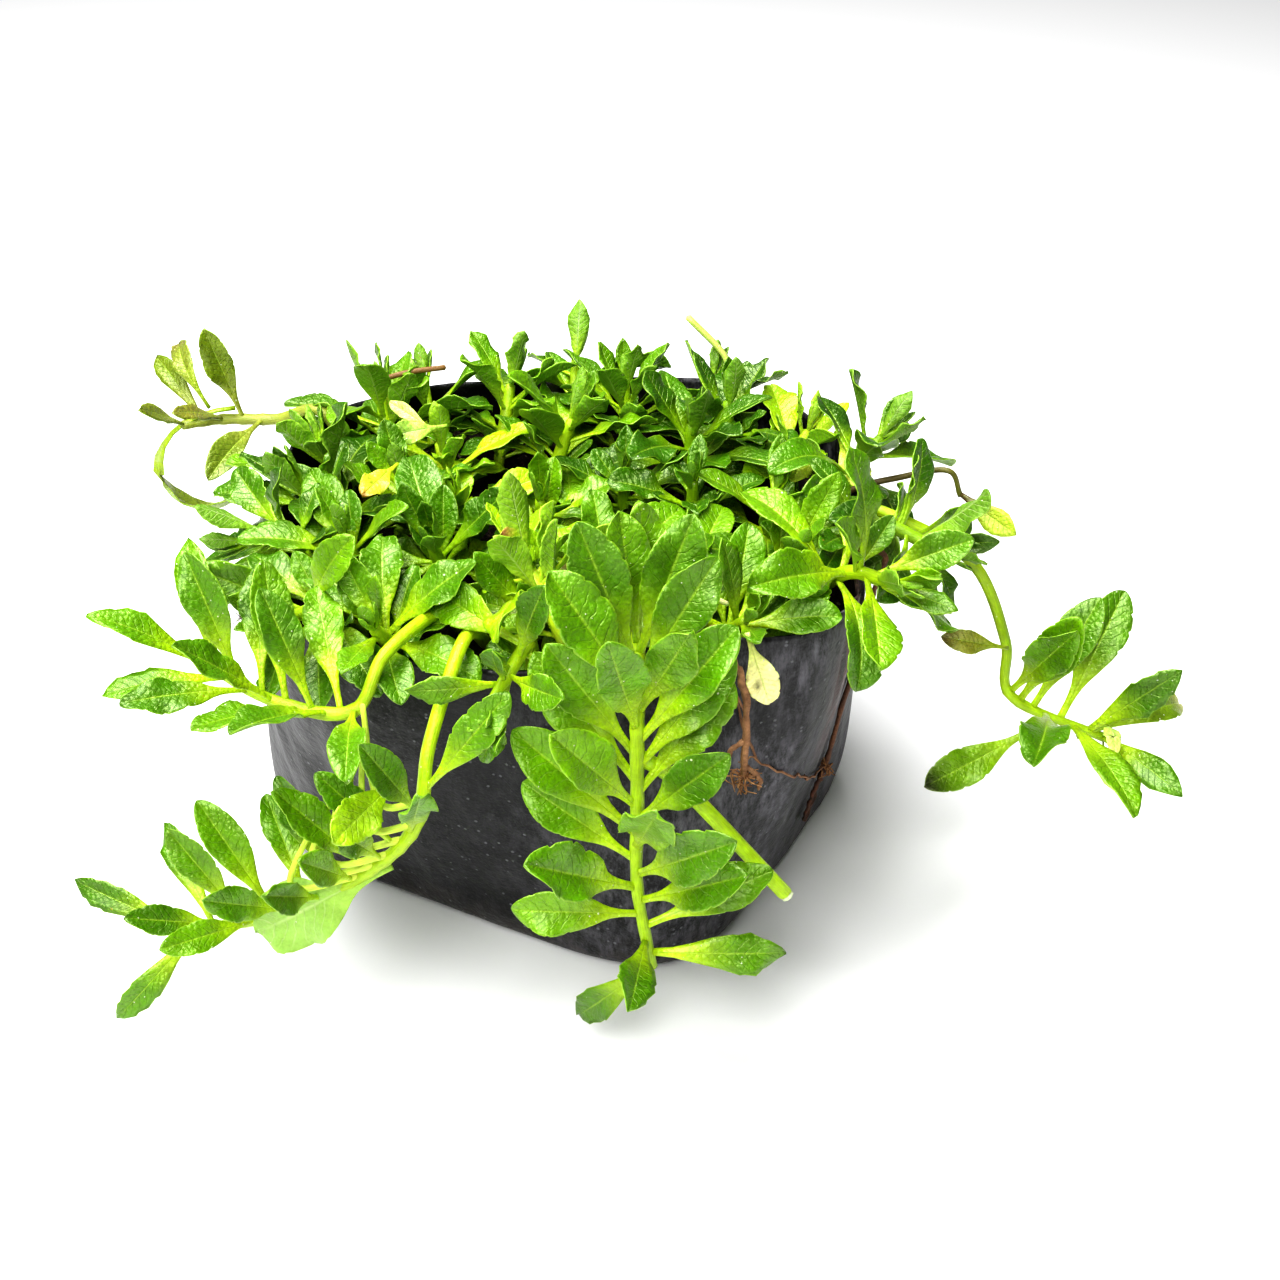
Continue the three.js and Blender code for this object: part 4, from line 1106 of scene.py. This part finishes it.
# Leaves that stand out in the photo. They are placed one by one, to the nearest 5 mm.
SINGLE_LEAVES = {
    "front_right_rim_stem": [
        single_leaf((60, -105, 155), (1, -1, -3), (0, -1, 0.3), 26, (248, 242, 172), spot=True),
    ],
    "left_front_trail": [
        single_leaf((-55, -135, 85), (-3, 0, -2), (0, -1, 0.5), 60, (150, 186, 100), face=-1),
        single_leaf((-50, -135, 120), (-1, -2, 0), (0, -1, 0.5), 34, (150, 186, 20)),
    ],
    "curled_sprig": [
        single_leaf(
            (-130, 55, 155), (-5, -1, 0), (0, 0, 1), 105, (124, 142, 40), breadth=0.35, curl=-5.2, twist=0.5,
            end=(128, 112, 70),
        ),
        single_leaf(
            (-140, 55, 155), (-1, 0, 2), (0, -1, 0.3), 35, (128, 138, 50), breadth=0.6, curl=-1.8,
            end=(120, 96, 70),
        ),
    ],
    "front_rosette_stem": [
        single_leaf(
            (-10, -65, 150), (4, 1, 1), (0, -1, 1), 26, (198, 178, 112), breadth=0.5, curl=0.5,
            end=(150, 110, 60),
        ),
        single_leaf((0, -65, 160), (-1, -1, 1), (0, -1, 1), 30, (150, 190, 20), end=(190, 120, 90)),
    ],
    "back_right_yellow_stem": [
        single_leaf((100, 35, 155), (1, -3, -1), (0, -1, 1), 28, (206, 214, 90)),
        single_leaf((90, 25, 155), (-1, -3, 0), (0, -1, 1), 26, (186, 204, 60)),
    ],
    "middle_pale_stem": [
        single_leaf((-50, 25, 160), (-2, 1, 1), (0, -1, 1), 22, (206, 216, 120), breadth=0.6),
        single_leaf((-45, 20, 165), (-3, -1, 0), (0, -1, 1), 22, (176, 206, 96), face=-1),
    ],
    "left_centre_stem": [
        single_leaf((-60, -10, 165), (-1, -2, 0), (0, -1, 1), 22, (206, 214, 60), end=(150, 100, 40)),
    ],
    "right_trail": [
        single_leaf(
            (160, -30, 100), (-2, -1, 1), (0, -1, 0.5), 30, (140, 140, 50), breadth=0.7, end=(96, 80, 40),
        ),
        single_leaf(
            (175, -30, 65), (-4, -1, -2), (0, -1, 1), 50, (110, 150, 10), breadth=0.7, curl=0.5,
            end=(14, 10, 8),
        ),
        single_leaf((200, -30, 60), (0, -1, 3), (0, -1, 0.5), 25, (206, 222, 120), breadth=0.6, curl=2.5),
        single_leaf((200, -30, 60), (0, -1, -2), (0, -1, 0.5), 18, (64, 46, 30), breadth=0.6, curl=3),
        single_leaf(
            (190, -30, 60), (4, 0, 2), (0, -1, 1), 55, (112, 140, 20), breadth=0.5, curl=-1.6,
            end=(170, 170, 60),
        ),
    ],
}
# Bare stalks, twigs and roots that no leaf hides, as a route and a radius, and their colour
BARE_STALKS = {
    "hidden_back_right_stem": [([(60, 85, 150), (60, 90, 160), (45, 95, 175)], 1.3, (196, 214, 110))],
    "left_back_stem": [([(-80, 65, 160), (-65, 65, 165), (-50, 70, 165)], 1.1, (138, 104, 62))],
    "front_right_stem": [
        ([(25, -65, 150), (40, -75, 155), (55, -80, 150)], 0.9, (222, 226, 160)),
        ([(30, -60, 150), (45, -70, 155), (60, -70, 150)], 0.8, (214, 220, 140)),
    ],
    "front_lime_stem": [([(-5, -85, 160), (5, -95, 155), (10, -100, 145)], 1.1, (222, 232, 150))],
}
SEED_PLACE = (-110, -65, 135)
FINE_STEPS = 8
EXTRA_LEAVES = 9
BUD_LEAVES = 4
FILM_ROOM = 6
PITH_LENGTH = 1.7
PITH_SHARE = 0.85
STALK_LOOPS = 6
SEED_HAIRS = 44


def grow_trunk(growth, stem, line, plans):
    """The stem itself, swollen a little where each leaf leaves it, with its foot in the soil."""
    radius = stem.get("radius", STEM_RADIUS)
    points = curve_through(stem_route(stem), FINE_STEPS)
    foot = np.array([*stem["root"], SOIL_HEIGHT - HOLE_DEPTH], float)
    points = np.vstack([foot, (foot + points[0]) / 2, points])
    lengths = lengths_of(points)
    share = np.linspace(0, 1, len(points))
    radii = radius * (1 + (TIP_SHARE - 1) * share**2)
    for plan in plans:
        place = lengths[-1] - plan["distance"]
        radii = radii * (1 + NODE_SWELL * bump_at(lengths, place, NODE_REACH))
    tone = TONES[stem.get("looks", stem["tone"])]
    colours = mixed(paint(*tone["stalk"])[:3], paint(*tone["blade"][0])[:3], 0.3 * share**2)
    grow_rod(growth, points, radii, colours)


def grow_stalk_loops(growth, line, colour):
    """Long bare leaf stalks that leave the bend of a hanging stem and curve up to leaves above it."""
    for index in range(STALK_LOOPS):
        start, _ = point_along(line, line["lengths"][-1] * (0.42 + 0.035 * index))
        bend = start + np.array([-13 - 2 * index, -3, 3 - index])
        end = start + np.array([-16 + index, 2, 36 - 2 * index])
        loop = curve_through([start, bend, end], FINE_STEPS)
        grow_rod(growth, loop, np.linspace(1.3, 0.9, len(loop)), rows_of(colour, len(loop)), sides=8)


def grow_seed(growth, centre, draws):
    """A wind-blown seed that has caught on the leaves: a brown grain with a tuft of fine hairs."""
    grain = [centre, centre + np.array([1, 0, 3.0]), centre + np.array([2, 0, 6.0])]
    grow_rod(growth, grain, [0.3, 0.5, 0.2], rows_of(plain(130, 70, 30), 3), sides=6)
    for _ in range(SEED_HAIRS):
        away = unit_of(draws.normal(0, 1, 3) * (1, 1, 0.7))
        arch = np.array([[0, 0, 0], [0, 0, 0.4], [0, 0, 0]])
        hair = centre + np.outer([0, 0.5, 1], away) * draws.uniform(5, 10) + arch
        grow_rod(growth, hair, [0.09, 0.07, 0.05], rows_of(plain(236, 236, 226), 3), sides=3, ridge=0)


def meets_film(points):
    """Whether a leaf along these points would poke through the film below the bag's rim."""
    share = np.clip(points[:, 2] / RIM_HEIGHT, 0, 1)
    bearing = np.arctan2(points[:, 1], points[:, 0])
    film = film_point(bearing, share, points[:, 2], -FILM_ROOM)
    outside = np.hypot(points[:, 0], points[:, 1]) > np.hypot(film[:, 0], film[:, 1])
    return bool(np.any(outside & (points[:, 2] < RIM_HEIGHT)))


def grow_extra_leaves(growth, stem, line, draws):
    """Lower leaves that crowd the foot of a stem of the crown, and the smallest leaves of its bud."""
    length = line["lengths"][-1]
    end, end_axis = point_along(line, length)
    habit = HABITS["crown"]
    base = {"light": UP, "hanging": False, "rise": habit["rise"], "breadth": habit["breadth"]}
    for index in range(EXTRA_LEAVES):
        point, axis = point_along(line, length - draws.uniform(9, max(10, length)))
        age = draws.uniform(0.2, 0.75)
        opening = habit["opening"] + habit["spread"] * age ** habit["ageing"]
        plan = base | {"age": age, "form": "full", "point": point, "axis": axis, "opening": opening}
        plan["bearing"] = index * LEAF_TURN + draws.uniform(0, 0.8)
        plan["size"] = stem["size"] * draws.uniform(0.5, 0.85)
        plan["curl"] = habit["curl"] - habit["uncurl"] * age + draws.uniform(-0.5, 0.3)
        plan["twist"] = draws.uniform(-0.4, 0.4)
        plan["wave"] = draws.uniform(-0.05, 0.05)
        plan["fold"] = draws.uniform(0.1, 0.5)
        plan["flip"] = draws.choice([-1, 1])
        look = leaf_look(draws, stem["tone"], 0.2)
        middle = leaf_line(plan, 0, 0, 1)
        if not meets_film(middle["points"]):
            grow_leaf(growth, middle, plan, look)
    for index in range(BUD_LEAVES):
        plan = base | {"age": 0.08 * index, "form": "bud", "point": end, "axis": end_axis}
        plan |= {"bearing": index * LEAF_TURN + 1, "opening": 0.15 + 0.15 * index, "curl": 0.6, "twist": 0.2}
        plan |= {"size": stem["size"] * (0.22 + 0.06 * index), "wave": 0.02, "fold": 0.5, "flip": 1}
        grow_leaf(growth, leaf_line(plan, 0, 0, 1), plan, leaf_look(draws, stem["tone"], 1))


FIRST_SEED = 101
SEED_STEP = 37

missing = 0
for number, stem in enumerate([*TRAILING_STEMS, *CROWN_STEMS]):
    stem["seed"] = FIRST_SEED + SEED_STEP * number
    route = stem_route(stem)
    line = line_through(route, SPAN_STEPS if len(route) > 2 else 1)
    plans = leaf_plans(stem, line)
    there = corners_of(stem["name"])
    growth = new_growth()
    draws = np.random.default_rng(stem["seed"])
    grow_trunk(growth, stem, line, plans)
    for plan in plans:
        middle = kept_line(plan, there)
        look = leaf_look(draws, stem.get("looks", stem["tone"]), 0.3 if plan["hanging"] else 1 - plan["age"])
        if middle is None:
            missing += 1
        else:
            grow_leaf(growth, middle, plan, look)
    if "light" not in stem:
        grow_extra_leaves(growth, stem, line, draws)
    if "cut" in stem:
        shoot = curve_through(stem["cut"]["route"], FINE_STEPS)
        radii = np.full(len(shoot), stem["cut"]["radius"])
        grow_rod(growth, shoot, radii, rows_of(plain(182, 218, 14), len(shoot)))
        face = shoot[-1] + unit_of(shoot[-1] - shoot[-2]) * PITH_LENGTH
        grow_rod(growth, [shoot[-1], face], radii[:2] * PITH_SHARE, rows_of(plain(226, 236, 196), 2))
    if stem["name"] == "left_front_trail":
        grow_stalk_loops(growth, line, plain(204, 226, 84))
    if stem["name"] == "left_edge_stem":
        grow_seed(growth, np.array(SEED_PLACE, float), draws)
    for leaf in SINGLE_LEAVES.get(stem["name"], []):
        grow_single(growth, leaf, draws)
    for bare, radius, colour in BARE_STALKS.get(stem["name"], []):
        stalk = curve_through(bare, FINE_STEPS)
        grow_rod(growth, stalk, np.full(len(stalk), radius), rows_of(plain(*colour), len(stalk)), sides=8)
    piece = finish_growth(stem["name"] + "_growth", growth, [LEAF_FINISHES[stem["tone"]], STEM_SKIN])
    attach(piece, "root")
    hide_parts(stem["name"])
print("leaves without a solid:", missing)


# Dead stem, root and thread
# A dry brown stem hangs over the front rim and ends in a frayed tuft. A root hangs at the right corner and
# forks, and a fine thread runs across the film from one to the other.
ROOT_GAP = 0.9
ROOT_STEPS = 10
DRY_STEM_ROUTE = [
    (45, -80, 110), (45, -80, 127), (50, -95, 150), (55, -110, 150), (60, -115, 135), (60, -115, 105),
]
DRY_STEM_RADIUS = 1.4
DRY_STUBS = [
    [(60, -115, 120), (55, -115, 115), (55, -115, 110)],
    [(60, -115, 110), (65, -115, 105), (65, -115, 100)],
]
DRY_ROOT_FOOT = [(90, -40, 110), (90, -40, 127), (100, -45, 150), (110, -50, 150)]
DRY_ROOT_PATH = [(-0.4, 130), (-0.4, 90), (-0.4, 50)]
DRY_ROOT_RADIUS = 1
ROOT_PRONGS = [
    [(-0.4, 50), (-0.35, 35), (-0.4, 20)],
    [(-0.4, 50), (-0.45, 40), (-0.45, 25)],
]
ROOT_THREAD = [(-1.05, 130), (-0.95, 95), (-0.75, 75), (-0.6, 60), (-0.4, 50)]
THREAD_START = (60, -115, 130)
THREAD_RADIUS = 0.5
TUFT_HAIRS = 26
KNOT_HAIRS = 20


def on_film(path, radius):
    """Points that lie on the film, from bearings and heights."""
    bearing, height = curve_through(path, ROOT_STEPS).T
    share = np.clip(height / RIM_HEIGHT, 0, 1)
    return film_point(bearing, share, height, radius + ROOT_GAP + film_creases(bearing, share))


def grow_dry(growth, points, start_radius, end_radius, colours, draws, wander=0.35, sides=8):
    """A gnarled dry rod, whose thickness and course wander a little."""
    count = len(points)
    steps = np.linspace(0, 1, count)[:, None]
    turns = draws.uniform(3, 9, 3) * count / 12
    sway = wander * np.sin(turns * steps * np.pi + draws.uniform(0, 6, 3)) * np.sin(np.pi * steps)
    radii = np.linspace(start_radius, end_radius, count) * draws.uniform(0.8, 1.2, count)
    rows = mixed(plain(*colours[0]), plain(*colours[1]), draws.uniform(0, 1, count))
    grow_rod(growth, points + sway, radii, rows, sides=sides, slot=0, ridge=0.12)


def grow_tuft(growth, centre, count, reach, down, draws):
    """Short frayed fibres that curl away from one place."""
    for _ in range(count):
        away = unit_of(draws.normal(0, 1, 3) + (0, 0, -down)) * draws.uniform(0.4, 1) * reach
        side = draws.normal(0, 0.22, 3) * reach
        route = [centre + draws.normal(0, 0.7, 3), centre + away * 0.5 + side, centre + away]
        fibre = curve_through(route, 4)
        grow_dry(growth, fibre, 0.34, 0.14, [(120, 82, 52), (168, 128, 86)], draws, 0.1, 5)


dry_draws = np.random.default_rng(71)
dry = new_growth()
STEM_BROWN = [(132, 96, 66), (176, 134, 96)]
STUB_BROWN = [(116, 82, 56), (160, 122, 88)]
ROOT_BROWN = [(92, 64, 48), (128, 88, 62)]
PRONG_BROWN = [(60, 42, 32), (104, 66, 48)]
THREAD_BROWN = [(124, 88, 64), (156, 116, 84)]
stem_points = curve_through(DRY_STEM_ROUTE, ROOT_STEPS)
grow_dry(dry, stem_points, DRY_STEM_RADIUS, DRY_STEM_RADIUS * 0.8, STEM_BROWN, dry_draws, 0.5, 10)
for stub in DRY_STUBS:
    grow_dry(dry, curve_through(stub, 5), DRY_ROOT_RADIUS, 0.6, STUB_BROWN, dry_draws)
grow_tuft(dry, np.array([60, -115, 106.0]), TUFT_HAIRS, 9, 1.2, dry_draws)
foot_points = curve_through([*DRY_ROOT_FOOT, on_film(DRY_ROOT_PATH, DRY_ROOT_RADIUS)[0]], ROOT_STEPS)
root_points = np.vstack([foot_points, on_film(DRY_ROOT_PATH, DRY_ROOT_RADIUS)[1:]])
grow_dry(dry, root_points, DRY_ROOT_RADIUS, DRY_ROOT_RADIUS, ROOT_BROWN, dry_draws, 0.3)
for prong in ROOT_PRONGS:
    prong_points = on_film(prong, DRY_ROOT_RADIUS)
    grow_dry(dry, prong_points, DRY_ROOT_RADIUS, 0.7, PRONG_BROWN, dry_draws, 0.4)
thread_points = np.vstack([THREAD_START, on_film(ROOT_THREAD, THREAD_RADIUS)])
grow_dry(dry, thread_points, THREAD_RADIUS, THREAD_RADIUS * 0.8, THREAD_BROWN, dry_draws, 0.7, 6)
grow_tuft(dry, on_film(DRY_ROOT_PATH, DRY_ROOT_RADIUS)[-1], KNOT_HAIRS, 6, 0, dry_draws)


def dry_finish():
    finish, tree, shader = new_finish("dry root")
    where = place_in(tree)
    own = grown_colour(tree)
    grain = cloud(tree, where, 900, 4, 0.65)
    shade = spread(tree, grain, 0.3, 0.7, 0.65, 1.25)
    tree.links.new(shaded(tree, own, shade), shader.inputs["Base Color"])
    shader.inputs["Roughness"].default_value = 0.75
    raised(tree, shader, grain, 0.0006, 0.7)
    return finish


dry_piece = finish_growth("dry_root_growth", dry, [dry_finish()])
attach(dry_piece, "root")
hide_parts("dry_roots")


# Floor and light
# A plain pale floor, a broad soft light above and behind, and a weaker one in front.
FLOOR_SIZE = 8
LIGHT_SIZE = 0.9
LIGHT_AIM = (0, 0, 0.1)
ROOM_LIGHT = 0.13

deselect_all()
bpy.ops.mesh.primitive_plane_add(size=FLOOR_SIZE, location=(0, 0, 0))
floor = bpy.context.object
floor.name = "floor"
floor_finish, _, floor_shader = new_finish("pale floor")
floor_shader.inputs["Base Color"].default_value = paint(236, 236, 236)
floor_shader.inputs["Roughness"].default_value = 0.9
floor.data.materials.append(floor_finish)


def soft_light(name, power, place):
    data = bpy.data.lights.new(name, "AREA")
    data.shape = "SQUARE"
    data.size = LIGHT_SIZE
    data.energy = power
    lamp = bpy.data.objects.new(name, data)
    bpy.context.collection.objects.link(lamp)
    lamp.location = place
    lamp.rotation_euler = (Vector(LIGHT_AIM) - Vector(place)).to_track_quat("-Z", "Y").to_euler()


soft_light("sky light", 32, (-0.3, 0.1, 1.5))
soft_light("front light", 24, (-0.35, -1.15, 1.25))
world = bpy.data.worlds.new("studio")
world.use_nodes = True
world.node_tree.nodes["Background"].inputs[0].default_value = (1, 1, 1, 1)
world.node_tree.nodes["Background"].inputs[1].default_value = ROOM_LIGHT
bpy.context.scene.world = world
